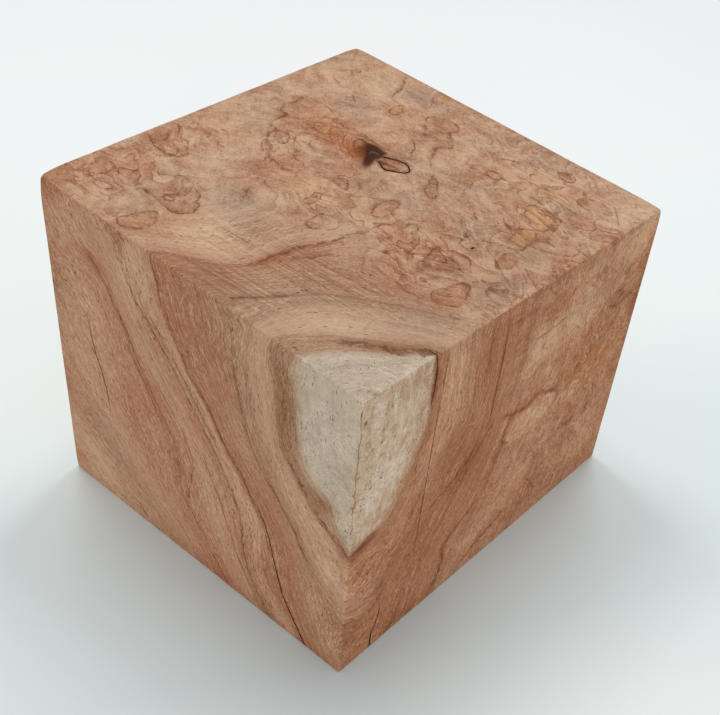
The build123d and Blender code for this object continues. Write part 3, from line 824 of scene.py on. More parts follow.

# %% [markdown]
# ## Tones
# Between the lines the wood is deeper, paler, redder, greyer or yellower in soft clouds, mostly where resin
# and air got in; a few clouds darken the front towards its foot and the wood along the tongue's split. Each
# cloud is an oval on a face with soft edges, and each traced patch adds its own tone up to its rim. Each
# whole face adds a tone as well, partly painted light. Together they give three numbers for each vertex:
# depth (minus is paler), warmth (minus is greyer) and yellow.

# %% Lay soft clouds of tone
# Each cloud of a face: middle, the two reaches, turn in degrees, depth, warmth, yellow.
CLOUDS = {
    "top": (
        ((-30, 66), (5, 7), 0, 0.14, -0.55, 0), ((-43, 40), (6, 8), 30, 0.16, -0.35, 0),
        ((-37, 34), (6, 4), 0, 0.0, -0.15, 0), ((-62, 63), (9, 6), -30, -0.08, 0, 0),
        ((-42, 60), (6, 8), 20, -0.3, 0, 0), ((-60, 45), (9, 6), 0, 0.12, 0.1, 0),
        ((-46, -50), (4, 6), 0, -0.34, 0, 0), ((-71, 65), (4, 7), 0, 0.25, 0, 0),
        ((-70, 20), (3, 6), 0, 0.3, 0.1, 0), ((-38, 18), (19, 8), 0, 0.1, 0.5, 0),
        ((-24, 17), (10, 7), -15, 0.0, 0.5, 0), ((-18, 14), (7, 4.5), -40, 0.1, 0.5, 0),
        ((-18.6, 19), (2.6, 4.2), 25, 0.5, 0.7, 0), ((-62, 10), (9, 8), 0, -0.4, 0, 0),
        ((-14.8, 15.4), (3.6, 3), -45, 0.5, 0.6, 0), ((-3, 20), (6, 3), -10, 0.12, 0.0, 0),
        ((-7, 17.9), (3.4, 0.9), 8, 0.9, 0.2, 0), ((-3.4, 19.4), (5, 2.6), 12, 0.16, 0.25, 0),
        # The clouds at (-8.6, 16.6), (-8.2, 21.8), (-2.4, 23.8), (1.2, 20.2) and (-4.4, 15.2) darken the wood
        # along the tongue's split.
        ((-8.6, 16.6), (1.6, 1.6), 0, 0.6, 0, 0), ((-8.2, 21.8), (2.4, 1.0), 25, 0.6, 0, 0),
        ((-2.4, 23.8), (3, 1.0), 0, 0.4, 0, 0), ((1.2, 20.2), (1.0, 2), 0, 0.4, 0, 0),
        ((-4.4, 15.2), (2.4, 1.0), 20, 0.4, 0, 0), ((-36, 14), (9, 3), 10, 0.12, 0.25, 0),
        ((-31, -12), (5, 7), 0, 0.2, 0.2, 0), ((-31, -3), (7, 4), 0, 0.14, 0.12, 0),
        ((-62, -33), (9, 6), 0, -0.06, 0.3, 0), ((-60, -18), (8, 5), 0, 0.14, 0.12, 0),
        ((-61, -59), (9, 6), 0, 0.22, 0.2, 0.05), ((-68, -72), (7, 7), 0, 0.3, 0.3, 0),
        ((-55, -47), (6, 4), 0, 0.06, 0.1, 0), ((-40, -26), (16, 5), -42, -0.2, -0.12, 0),
        ((-60, -2), (11, 6), -30, -0.16, -0.1, 0.1), ((-47, -20), (8, 8), 0, -0.14, 0, 0),
        ((-14, -42), (10, 8), 0, 0.0, -0.5, 0), ((-22, -35), (12, 6), 25, -0.08, -0.35, 0),
        ((-17, -61), (13, 6), 25, -0.52, 0.1, 0), ((-16, -49), (9, 5), 0, -0.3, -0.2, 0),
        ((-5, -61), (6, 4), 30, -0.1, 0.12, 0.1), ((18, -46), (11, 9), 0, 0.08, 0.05, 0),
        ((6, -51), (2.6, 5), -8, 0.3, 0.5, 0), ((5, -71), (14, 5), 10, 0.2, -0.05, 0),
        ((30, -12), (9, 9), 0, 0.06, 0.25, 0), ((46, -31), (12, 2.6), 12, 0.06, 0.2, 0),
        ((60, -8), (5, 9), 0, 0.36, -0.5, 0), ((10, -15), (7, 6), 0, -0.26, 0, 0),
        ((-9, -15), (6, 6), 0, -0.3, 0.05, 0.15), ((40, -58), (12, 5.5), 38, -0.26, -0.45, 0.05),
        ((56, -42), (9, 3.4), 32, 0.08, -0.5, 0), ((20, -56), (18, 12), 30, 0.0, -0.22, 0),
        ((56, -34), (7, 2.2), 38, 0.12, -0.3, 0), ((60, -27), (4, 3), 0, -0.1, -0.2, 0),
        ((54, -67), (9, 5), 30, -0.14, -0.15, 0), ((56, -54.6), (9, 2.2), 40, 0.36, 0.3, 0),
        ((40, -70), (4, 8), 0, 0.1, 0.05, 0.1), ((43, -13), (8, 10), 0, 0.12, 0.25, 0),
        ((56, 22), (5, 9), 0, 0.1, -0.05, 0), ((67, 18), (3.4, 15), 0, 0.22, 0.35, 0),
        ((51, 45), (5, 5), 0, 0.1, -0.5, 0), ((28, 53), (4, 4), 0, 0.0, -0.45, 0),
        ((33, 48), (9, 3), 0, -0.1, -0.1, 0.4), ((46, 50), (5, 2.4), 0, -0.14, -0.1, 0.35),
        ((24, 62), (8, 3.4), 35, 0.1, -0.45, 0), ((16, 68), (10, 5), 0, 0.05, -0.1, 0),
        ((66, 66), (8, 12), 0, -0.46, -0.2, 0), ((54, 58), (5, 8), 0, 0.08, 0.1, 0),
        ((14, 41), (5, 2.4), 0, 0.16, -0.1, 0), ((21, 31), (8, 3), 15, 0.12, -0.3, 0),
        ((30, 8), (8, 8), 0, 0.02, 0.12, 0), ((-9, 34), (7, 5), 0, -0.05, 0.12, 0.08),
        ((-16, 33), (14, 5), 0, -0.04, 0.15, 0.1), ((-11, 25), (9, 2), 5, 0.32, 0.3, 0),
        ((2, 12), (9, 5), 0, -0.1, -0.05, 0), ((7, 34), (5, 7), 0, -0.1, 0, 0.05),
        ((-16, -15), (6, 5), 0, 0.0, 0.05, 0.35), ((-52, -7), (4, 4), 0, 0.02, -0.1, 0.35),
        ((60, 42), (4, 6), 0, 0.06, 0.25, 0), ((40, -27), (6, 4), 0, 0.16, 0.05, 0),
        ((34, -26), (4, 3), 0, 0.12, 0.1, 0), ((14, -30), (6, 5), 0, -0.38, 0, 0),
        ((34, 54), (8, 4), 0, -0.38, 0, 0.05), ((38, 0), (5, 5), 0, 0.42, 0.05, 0),
        ((-44, -4), (4, 5), 0, -0.3, 0, 0), ((-26, -25), (5, 6), 0, 0.4, 0.15, 0),
        ((-34, 73), (6, 5), 0, -0.32, 0.25, 0), ((17, 61), (6, 5), 0, -0.32, 0, 0),
        ((-41, -14), (5, 5), 0, -0.3, 0, 0), ((-50, 62), (5, 6), 0, -0.32, 0.05, 0),
        ((30, 14), (5, 6), 0, 0.38, 0.1, 0), ((-36, -41), (5, 5), 0, 0.36, 0.15, 0),
        ((-67, -66), (8, 12), 0, 0.05, 0.5, 0.1), ((-55, -46), (7, 7), 0, 0, 0.4, 0.1),
        ((-5, 68), (12, 6), 0, 0, -0.35, 0), ((28, 36), (7, 5), 0, 0, -0.3, 0),
        ((-55, 34), (7, 6), 0, 0, 0.3, 0), ((41, -58), (8, 4), 38, -0.2, -0.1, 0),
        ((-60, -25), (6, 6), 0, -0.24, 0, 0), ((10, 45), (6, 6), 0, -0.22, 0, 0),
        ((-15, -55), (9, 11), 0, -0.22, 0, 0), ((14, -60), (9, 13), 0, -0.14, 0, 0),
        ((-69, 58), (4, 6), 0, 0, -0.3, 0), ((-26, 64), (4, 5), 0, 0.36, -0.1, 0),
        ((60, 16), (4, 6), 0, 0.34, 0, 0), ((43, 5), (4, 5), 0, 0.34, 0.2, 0),
        ((22, 34), (6, 4), 0, 0.34, 0.1, 0), ((-21, 3), (5, 4), 0, 0.34, 0.1, 0),
        ((-28, -62), (4, 5), 0, 0.34, 0.1, 0), ((-70, 68), (3, 5), 0, 0.3, 0.1, 0),
        ((-3, 9), (6, 3), 0, 0.32, 0, 0), ((-53, 11), (4, 4), 0, -0.28, 0, 0),
        ((16, 74), (8, 3), 0, 0.28, 0, 0), ((-39, 13), (6, 4), 0, 0.34, 0.2, 0),
        ((-16.6, 19.4), (4.4, 4.6), 0, 0.5, 0.3, 0), ((-1, 3), (5, 4), 0, 0.3, 0.05, 0),
        ((50, 21), (4, 4), 0, -0.26, 0, 0), ((47, 13), (4, 4), 0, 0.28, 0, 0),
        ((63, 26), (4, 5), 0, 0.3, 0.1, 0), ((-23, -38), (5, 5), 0, 0.28, -0.1, 0),
        ((-18, 37), (6, 4), 0, -0.25, 0, 0), ((-41, 22), (6, 4), 0, -0.25, 0, 0),
        ((-6, -35), (5, 5), 0, -0.25, -0.25, 0), ((-14.6, 10.6), (3, 3), 0, 0.28, 0.3, 0),
        ((-19, 16), (4, 4), 0, 0.04, 0.6, 0), ((66, -60), (4, 9), 0, -0.22, 0, 0),
        ((37, -69), (4, 4), 0, -0.2, 0, 0), ((20, -34), (5, 4), 0, -0.2, 0, 0),
        ((56, 11), (4, 4), 0, 0.2, 0, 0),
    ),
    "front": (
        ((-47, 107), (7, 3), -25, 0.3, 0.05, 0), ((-33, 122.5), (2, 2.6), 0, 0.4, 0, 0),
        ((-29, 113), (7, 11), -20, -0.38, -0.1, 0), ((-11, 41), (2.6, 6), 0, 0.2, -0.4, 0),
        ((-66, 88), (5, 9), 0, 0.1, 0, 0), ((-60, 118), (10, 8), -20, -0.32, 0.0, 0),
        ((-55, 13), (11, 6), -30, -0.36, 0.08, 0), ((-30, 53), (14, 10), -50, 0.08, 0.15, 0),
        ((60, 44), (6, 6), 0, -0.28, -0.15, 0), ((37, 97), (3.8, 15), 0, 0.58, 0.1, 0),
        ((51, 71.4), (6.5, 3.8), -25, 0.34, 0.0, 0), ((43, 79), (4, 3), -50, 0.2, 0.05, 0),
        ((54, 94), (11, 22), 0, -0.2, -0.9, 0), ((20, 96), (4, 11), 10, 0.05, -0.3, 0),
        ((22, 113), (7, 7), 0, -0.12, 0, 0), ((-68, 8), (5, 5), 0, 0.2, 0.4, 0),
        ((-55, 84), (10, 14), 20, -0.14, 0.05, 0), ((58, 18), (8, 9), 0, 0.05, -0.1, 0),
        ((46, 20), (4, 12), 15, 0.12, 0.2, 0), ((5, 5), (10, 5), 0, 0.1, 0.2, 0),
        ((-58, 58), (8, 10), 0, -0.06, 0, 0), ((-10, 90), (8, 4), -50, -0.16, 0.05, 0),
        ((34, 112), (4, 7), 0, 0.2, -0.05, 0), ((3, 105), (10, 14), 10, 0.08, 0.08, 0),
        ((20, 74), (4, 11), 30, -0.16, -0.1, 0), ((8, 28), (4, 14), 25, -0.2, 0.05, 0),
        ((52, 25), (6, 10), 20, -0.24, 0.0, 0), ((-50, 34), (4, 16), 58, 0.1, -0.4, 0),
        # The clouds at (28, 23), (33, 12) and (24, 1) make the front darker towards its foot.
        ((34, 50), (4, 12), 25, 0.14, 0.12, 0), ((28, 23), (5, 7), 25, 0.3, 0.35, 0),
        ((33, 12), (7, 6), 0, 0.22, 0.3, 0), ((24, 1), (44, 4), 0, 0.3, 0.2, 0),
        ((-25, 102), (5, 7), -20, -0.2, 0, 0), ((-69, 97), (4, 9), 0, 0.3, 0.1, 0),
        ((62, 12), (5, 6), 0, -0.24, 0, 0), ((-69, 4), (5, 5), 0, 0, 0.4, 0.1),
        ((-14, 108), (3, 14), 20, -0.12, 0.4, 0), ((19, 27), (5, 8), 0, 0.05, 0.35, 0),
        ((55.4, 72.6), (3.4, 3), 0, 0.5, 0.4, 0), ((42, 92), (2, 12), 5, 0.25, 0.2, 0),
        ((62, 62), (4, 4), 0, 0.26, 0, 0), ((62, 88), (4, 6), 0, 0.24, 0, 0),
        ((-15, 69), (6, 5), -45, 0.22, 0, 0), ((-69, 85), (4, 6), 0, 0.22, 0, 0),
        ((62, 78), (4, 8), 0, 0.24, 0.1, 0), ((44, 107), (2.4, 6), 0, 0.24, 0, 0),
    ),
    "right": (
        ((71, 81), (4, 6), 0, 0.46, 0.5, 0), ((-70, 58.4), (9, 2.2), 12, 0.6, 0.3, 0),
        ((-33, 76), (11, 2.8), 56, 0.42, 0.15, 0), ((-72, 75), (5, 8), 0, -0.3, 0, 0),
        ((70, 101), (5, 12), 0, -0.16, 0.5, 0.1), ((60, 63), (9, 9), 0, -0.1, 0.5, 0.1),
        ((10, 66), (12, 3), 0, 0.1, 0.5, 0), ((-37, 104), (5, 14), 0, -0.28, 0.2, 0),
        ((-45, 54), (6, 9), 0, 0.16, 0.35, 0), ((10, 26), (9, 7), 0, -0.16, 0.05, 0),
        ((-3, 53), (18, 2.8), 68, 0.4, 0.15, 0), ((-17, 23), (17, 2.8), 63, 0.4, 0.15, 0),
        ((-13, 13), (8, 8), 0, -0.14, 0, 0), ((-62, 55), (4, 3), 0, 0.4, 0.2, 0),
        ((-46, 3), (10, 4), 0, 0.32, 0.1, 0), ((-56, 63), (4, 4), 0, 0.3, 0.1, 0),
        ((-66, 97), (5, 5), 0, 0.26, 0, 0), ((12, 59), (13, 8), 0, -0.3, 0.05, 0),
        ((2, 96), (3, 20), 0, 0.25, 0.1, 0), ((-68, 66), (5, 4), 0, 0.34, 0, 0),
        ((72, 106), (3, 8), 0, 0.3, 0.2, 0), ((-74, 94), (3, 8), 0, 0.28, 0, 0),
        ((-74, 55), (4, 4), 0, 0.32, 0.1, 0), ((43, 58), (6, 5), 0, -0.3, 0, 0),
        ((-50, 73), (3, 5), 0, 0.3, 0.1, 0), ((66, 110), (5, 4), 0, -0.1, 0, 0.5),
        ((73, 88), (3, 16), 0, 0.26, 0.4, 0), ((44, 86), (6, 5), 0, -0.24, 0, 0),
        ((-49, 114), (2.2, 4), 0, -0.24, 0, 0), ((-18, 98), (4, 12), 0, 0.22, 0.1, 0),
        ((-21, 63), (9, 12), 20, 0.24, 0.05, 0), ((-40, 34), (12, 11), 30, 0.2, 0.2, 0),
        ((-61, 27), (2.8, 4.6), 0, 0.35, 0.1, 0), ((-66, 11), (11, 8), 0, 0.16, 0.2, 0),
        ((-70, 45), (6, 8), 0, 0.1, 0.3, 0), ((-56, 70), (4, 10), -25, 0.14, 0, 0),
        ((-62, 45), (13, 11), 0, 0.26, 0.15, 0), ((-46, 62), (6, 12), -25, 0.22, 0.1, 0),
        ((-45.6, 108), (1.6, 14), 0, 0.3, 0.3, 0), ((-47, 88), (3, 9), -15, 0.2, 0.05, 0),
        ((-12.5, 98), (1.5, 22), 0, 0.1, 0.35, 0), ((-19.5, 104), (1.6, 13), 0, 0.14, 0.3, 0),
        ((-24, 100), (2.4, 16), 0, 0.1, 0.2, 0), ((-64, 86), (12, 28), 0, -0.52, -0.12, 0.04),
        ((-30, 53), (12, 3), 35, 0.24, 0.2, 0), ((-22, 60), (12, 18), 30, 0.14, 0.2, 0),
        ((-57, 36), (4, 12), -35, 0.2, 0.2, 0), ((14, 90), (13, 10), 0, -0.54, -0.05, 0.1),
        ((60, 110), (14, 7), 0, -0.38, -0.05, 0.1), ((60, 20), (12, 9), 0, -0.24, 0.0, 0.1),
        ((50, 66), (16, 8), 10, 0.05, 0.2, 0.3), ((40, 46), (12, 5), -20, 0.08, 0, 0.1),
        ((45, 83), (12, 5), 10, 0.12, 0.1, 0.2), ((20, 104), (16, 4), 0, 0.16, 0.15, 0),
        ((36, 91), (9, 6), 0, -0.5, 0, 0), ((31, 104), (7, 7), 0, -0.36, -0.05, 0),
        ((54, 77), (6, 5), 0, 0.22, 0.1, 0), ((60, 89), (8, 3.4), 0, 0.2, 0.3, 0),
        ((28, 21), (8, 8), 0, 0.16, 0.05, 0), ((68, 24), (5, 6), 0, 0.1, 0.3, 0),
        ((70, 55), (3.4, 12), 0, 0.12, 0.35, 0), ((40, 108), (7, 3.4), 0, 0.1, -0.3, 0),
        ((14, 9), (10, 4), 20, 0.14, 0.05, 0), ((58, 5), (10, 5), 0, 0.16, 0.3, 0),
        ((-19, 17), (7, 9), 0, -0.16, 0, 0), ((38, 55), (4, 6), 0, -0.25, -0.2, 0),
        ((5, 40), (8, 8), 0, 0.02, -0.15, 0), ((-2, 105), (8, 10), 0, 0.04, 0.1, 0),
        ((42, 24), (7, 7), 0, -0.05, 0.15, 0), ((14, 30), (8, 6), 20, -0.08, 0.05, 0),
    ),
    "left": (
        ((-24, 66), (46, 4), 23, 0.42, 0.25, 0), ((-14, 80), (52, 6), 22, -0.34, 0, 0),
        ((30, 104), (34, 5), 25, 0.34, 0.3, 0), ((-40, 104), (24, 8), 20, 0.2, 0.2, 0),
        ((-30, 42), (40, 7), 24, -0.3, -0.1, 0), ((36, 72), (30, 3), 24, 0.36, 0.2, 0),
        ((4, 44), (50, 3), 24, 0.42, 0.3, 0), ((20, 34), (44, 5), 22, -0.3, 0, 0),
        ((30, 20), (46, 4), 22, 0.36, 0.25, 0), ((-50, 14), (24, 5), 24, 0.24, -0.2, 0),
        ((50, 50), (20, 8), 24, -0.16, 0.1, 0), ((60, 8), (18, 6), 15, 0.2, 0.1, 0),
    ),
}
# The back takes the top's clouds with its figure, apart from the deepest ones, which belong to the knot.
DEEPEST_ON_BACK = 0.45
CLOUDS["back"] = tuple(
    (laid_on_back((middle,))[0], reaches, turn + 90, *amounts)
    for middle, reaches, turn, *amounts in CLOUDS["top"] if amounts[0] < DEEPEST_ON_BACK
)
PATCH_EDGE = 2.2
# What each whole face adds: depth, warmth, yellow. This is partly the wood's own tone and partly painted
# light: the top is paler, as under a sheen, and the two upright faces in view are warmer.
FACE_TONES_AND_SHADE = {
    "top": (-0.06, 0.0, 0), "right": (0.08, 0.46, 0.14), "front": (-0.04, 0.22, 0.04),
    "back": (0.06, 0.2, 0), "left": (0.02, 0.12, 0), "base": (0.02, 0.12, 0),
}


def nearest_faces(places):
    """The name of the sawn face that each place lies nearest to."""
    names = np.array(list(faces))
    depths = np.stack([reach - places @ normal for normal, reach in faces.values()])
    return names[depths.argmin(0)]


def cloud_share(places, name, middle, reaches, turn):
    """A bell over an oval on a face: one in its middle, a tenth at one and a half times its reach."""
    first, second = FACE_COORDINATES[name]
    out = places - on_face(name, (middle,))[0] / MM
    angle = math.radians(turn)
    long = out[:, first] * math.cos(angle) + out[:, second] * math.sin(angle)
    wide = out[:, second] * math.cos(angle) - out[:, first] * math.sin(angle)
    depth = out @ faces[name][0]
    return np.exp(-(long / reaches[0]) ** 2 - (wide / reaches[1]) ** 2 - (depth / min(reaches)) ** 2)


def inside_share(places, path, normal, edge):
    """One inside a closed path, nought outside, softly: a path winds once around a place inside it."""
    distance = abs(signed_distance(places, path, normal)[0])
    spokes = path - places[:, None]
    before, after = spokes[:, :-1], spokes[:, 1:]
    turns = np.arctan2(np.cross(before, after) @ normal, (before * after).sum(-1)).sum(1)
    return np.clip(0.5 + np.where(abs(turns) > math.pi, distance, -distance) / edge, 0, 1)


face_names = nearest_faces(vertex_places)
tone = np.zeros((len(places_mm), 3))
for name, amounts in FACE_TONES_AND_SHADE.items():
    tone[face_names == name] = amounts
for name, clouds in CLOUDS.items():
    for middle, reaches, turn, *amounts in clouds:
        tone += cloud_share(places_mm, name, middle, reaches, turn)[:, None] * amounts
for (name, _, *amounts, _), path in zip(PATCHES, patch_paths):
    picked = near_path(path)
    tone[picked] += inside_share(places_mm[picked], path, faces[name][0], PATCH_EDGE)[:, None] * amounts
keep_values("tone", tone)
cloud_count = sum(map(len, CLOUDS.values()))
print(f"tones: {cloud_count} clouds; depth from {tone[:, 0].min():.2f} to {tone[:, 0].max():.2f}")

# %% Mark the burl, the saw scratches and the knot
# How much burl a face holds, or the line on a face where its burl begins, how softly, and how much lies
# beyond.
HIDDEN_BURL = {"front": 0.0, "left": 0.3, "back": 0.75, "base": 0.3}
BURL_BORDERS = {
    "top": ((74, -30), (58, -28), (48, -31), (38, -31.5), (28, -31), (20, -27), (14, -22), (8, -25), (0, -32),
            (-9, -34), (-19, -39), (-24, -46), (-26, -58), (-30, -70), (-34, -80)),
    "right": ((-31, -4), (-28, 18), (-22, 29), (-11, 42), (-7, 55), (-6, 70), (-8, 85), (-10, 100),
              (-10, 122)),
}
BORDER_WIDTHS = {"top": 12.0, "right": 30.0}
BORDER_SHARES = {"top": 1.0, "right": 0.6}
# Where the saw left scratches on the top: middle, reaches, turn.
SAW_SCRATCHES = (((22, -46), (20, 9), 5), ((10, -68), (16, 7), 5), ((-10, -52), (12, 9), 5))
# The knot's dark heart, its tail, the streak above it, two at its edge and the streak in its tongue: middle,
# reaches, turn, amount.
KNOT_CLOUDS = (
    ((-15.8, 21.4), (4.0, 3.5), 0, 1.0), ((-11.9, 14.6), (2.1, 6.2), 24, 1.1),
    ((-20, 22.9), (4.4, 0.9), -6, 0.62), ((-11.8, 22.6), (1.6, 1.1), 20, 0.6),
    ((-11.4, 19.4), (1.4, 2.0), 0, 0.8), ((-7.4, 19.0), (2.8, 0.5), -32, 0.62),
)
# How strongly nested lines show in the burl: face, middle, reaches, turn, amount.
FIGURE_CLOUDS = (
    ("top", (-52, -58), (22, 18), 0, 0.9), ("top", (-62, -26), (14, 14), 0, 0.7),
    ("top", (46, 4), (22, 40), 0, 0.75), ("top", (34, 54), (26, 16), 0, 0.7),
    ("top", (-4, -18), (24, 14), 0, 0.7), ("top", (26, -18), (20, 14), 0, 0.5),
    ("top", (-32, 2), (14, 12), 0, 0.5), ("top", (-40, 16), (16, 8), 0, 0.4),
    ("right", (46, 60), (30, 50), 0, 0.5), ("back", (0, 64), (80, 60), 0, 0.6),
    ("left", (20, 64), (60, 50), 0, 0.3),
)
burl = np.zeros(len(places_mm))
for name, share in HIDDEN_BURL.items():
    burl[face_names == name] = share
for name, border in BURL_BORDERS.items():
    picked = face_names == name
    path = smooth_path(on_face(name, border) / MM, False)
    distance = signed_distance(places_mm[picked], path, faces[name][0])[0]
    burl[picked] = np.clip(0.5 + distance / BORDER_WIDTHS[name], 0, 1) * BORDER_SHARES[name]
saw = sum(cloud_share(places_mm, "top", *scratch) for scratch in SAW_SCRATCHES)
knot = sum(cloud_share(places_mm, "top", *cloud) * amount for *cloud, amount in KNOT_CLOUDS)
figure = sum(cloud_share(places_mm, *cloud) * amount for *cloud, amount in FIGURE_CLOUDS)
keep_values("marks", np.column_stack((burl, saw, knot)))
keep_values("figure", np.clip(figure, 0, 1))
print("burl covers", round(100 * burl.mean()), "per cent of the vertices; knot on", int((knot > 0.5).sum()))

# %% [markdown]
# ## The wood
# The finish is raw wood, sawn and sanded, with no lacquer. Its colour is built as it is in the wood: bands
# by depth of growth, streaks and pores that run with the fibre, mottle and nested lines where the burl
# swirls, dashes and rings in the pale sapwood, then the tones and rims from above. All of that ends in a
# few amounts, depth, warmth and yellow, that pull the band colour towards a brown, an orange, a grey or a
# yellow. Written this way, one effect never hides another.

# %% Write shader sums as plain arithmetic
class Socket:
    """One output of a node. Sums with sockets and numbers become Math nodes in the same finish."""

    def __init__(self, finish, socket):
        self.finish, self.socket = finish, socket

    def math(self, operation, *terms):
        return self.finish.node("Math", {"operation": operation}, dict(enumerate(terms)))

    def __add__(self, other):
        return self.math("ADD", self, other)

    def __radd__(self, other):
        return self.math("ADD", other, self)

    def __sub__(self, other):
        return self.math("SUBTRACT", self, other)

    def __rsub__(self, other):
        return self.math("SUBTRACT", other, self)

    def __mul__(self, other):
        return self.math("MULTIPLY", self, other)

    def __rmul__(self, other):
        return self.math("MULTIPLY", other, self)

    def __truediv__(self, other):
        return self.math("DIVIDE", self, other)

    def __rtruediv__(self, other):
        return self.math("DIVIDE", other, self)

    def __abs__(self):
        return self.math("ABSOLUTE", self)


class Finish:
    """A material whose nodes are made by short calls."""

    def __init__(self, material):
        material.use_nodes = True
        self.tree = material.node_tree
        self.tree.nodes.clear()

    def node(self, kind, settings, inputs, output=0):
        """One node: its settings first, then its inputs, numbers on the sockets and sockets as links."""
        made = self.tree.nodes.new("ShaderNode" + kind)
        for name, value in settings.items():
            if name == "stops":
                fill_ramp(made.color_ramp, value)
            else:
                setattr(made, name, value)
        for name, value in inputs.items():
            if isinstance(value, Socket):
                self.tree.links.new(value.socket, made.inputs[name])
            else:
                made.inputs[name].default_value = value
        return Socket(self, made.outputs[output]) if made.outputs else None

    def attribute(self, name, output="Fac"):
        return self.node("Attribute", {"attribute_name": name}, {}, output)

    def parts(self, vector):
        return [self.node("SeparateXYZ", {}, {0: vector}, number) for number in range(3)]

    def vector(self, x, y, z):
        return self.node("CombineXYZ", {}, {0: x, 1: y, 2: z})

    def measure(self, operation, *terms):
        """One number from vectors: a product, a distance or a length."""
        return self.node("VectorMath", {"operation": operation}, dict(enumerate(terms)), "Value")

    def step(self, value, start, end, reach=1.0):
        """Nought at the start, the reach at the end, and an even S between them."""
        inputs = {0: value, 1: start, 2: end, 4: reach}
        return self.node("MapRange", {"interpolation_type": "SMOOTHSTEP"}, inputs)

    def noise(self, vector, scale=1.0, detail=2.0, roughness=0.5, distortion=0.0):
        inputs = {"Vector": vector, "Scale": scale, "Detail": detail, "Roughness": roughness}
        return self.node("TexNoise", {}, {**inputs, "Distortion": distortion})

    def ramp(self, value, stops):
        return self.node("ValToRGB", {"stops": stops}, {0: value})

    def mix(self, first, second, share):
        return self.node("Mix", {"data_type": "RGBA"}, {0: share, 6: first, 7: second}, 2)


def fill_ramp(ramp, stops):
    """Gives a ramp these stops and no others."""
    while len(ramp.elements) > 1:
        ramp.elements.remove(ramp.elements[-1])
    for number, (place, colour) in enumerate(stops):
        stop = ramp.elements[0] if number == 0 else ramp.elements.new(place)
        stop.position, stop.color = place, colour


def paint(red, green, blue):
    """A colour written as on a screen, nought to 255, turned to linear light."""
    shares = np.array([red, green, blue]) / 255
    linear = np.where(shares <= 0.04045, shares / 12.92, ((shares + 0.055) / 1.055) ** 2.4)
    return (*(float(share) for share in linear), 1.0)


# %% Choose the colours of the wood
BAND_LOW, BAND_HIGH = -20.0, 130.0
# Each stop: depth of growth in millimetres, and the colour there. The first three are sapwood, the next its
# border.
BANDS = (
    (-20, (184, 166, 143)), (-11, (184, 167, 145)), (-8.8, (180, 160, 136)), (-7.0, (170, 137, 111)),
    (-4, (162, 125, 98)), (-1, (166, 128, 100)), (2.5, (183, 145, 116)), (6, (188, 150, 122)),
    (10, (184, 146, 118)), (13.5, (168, 132, 105)), (17, (164, 126, 99)), (18, (154, 114, 89)),
    (19.2, (163, 120, 93)), (27, (164, 120, 93)), (28, (156, 111, 85)), (29, (164, 119, 92)),
    (38, (162, 114, 87)), (43.5, (160, 111, 84)), (44.8, (140, 90, 64)), (46, (168, 122, 95)),
    (48.5, (187, 146, 119)), (53, (181, 139, 112)), (54.4, (170, 124, 96)), (58, (172, 126, 99)),
    (62, (185, 143, 114)), (68, (184, 141, 112)), (73, (177, 130, 103)), (78, (168, 119, 92)),
    (83, (178, 130, 103)), (98, (186, 142, 114)), (112, (176, 132, 105)), (124, (192, 152, 123)),
)
# The burl's own colours, from the deep to the pale places of its swirl.
HEARTS = ((0.30, (164, 118, 90)), (0.5, (184, 144, 116)), (0.68, (203, 168, 139)))
BROWN, PALE = paint(110, 62, 34), paint(215, 182, 149)
SAP_BROWN, SAP_PALE = paint(112, 88, 66), paint(222, 207, 187)
ORANGE, GREY, YELLOW = paint(178, 106, 64), paint(157, 147, 136), paint(193, 143, 88)
INK, RIM, KNOT_INK, WHITE = paint(88, 48, 28), paint(108, 62, 36), paint(62, 28, 19), paint(255, 255, 255)


def painted(stops, low=0.0, high=1.0):
    """Stops for a ramp: each place as a share of the span, each colour turned to linear light."""
    return [((spot - low) / (high - low), paint(*shade)) for spot, shade in stops]


print("bands:", len(BANDS), "colours over", BAND_HIGH - BAND_LOW, "mm of growth")

# %% Read the place in the wood
BAND_WAVES, BAND_WANDER = 0.07, 3.0


def unit(direction):
    """The direction with a length of one."""
    return np.array(direction) / np.linalg.norm(direction)


FIBRE = unit((0.45, -0.40, -0.80))
FIBRE_SIDE = unit(np.cross(FIBRE, (0.6, -0.6, 0.5)))
FIBRE_FACE = np.cross(FIBRE, FIBRE_SIDE)
finish = Finish(wood)
metres = finish.node("TexCoord", {}, {}, "Object")
place = finish.node("VectorMath", {"operation": "SCALE"}, {0: metres, "Scale": 1 / MM})
place_x, place_y, place_z = finish.parts(place)


def along_direction(direction):
    """How far the place lies along a direction, in millimetres."""
    return finish.measure("DOT_PRODUCT", place, tuple(direction))


def swing(noise, amount):
    """A noise as a swing around nought, by an amount."""
    return (noise - 0.5) * amount


fibre_along, fibre_across, fibre_deep = (along_direction(line) for line in (FIBRE, FIBRE_SIDE, FIBRE_FACE))
level = finish.attribute("growth") + swing(finish.noise(place, BAND_WAVES, detail=3.0), BAND_WANDER)
band = finish.ramp((level - BAND_LOW) / (BAND_HIGH - BAND_LOW), painted(BANDS, BAND_LOW, BAND_HIGH))

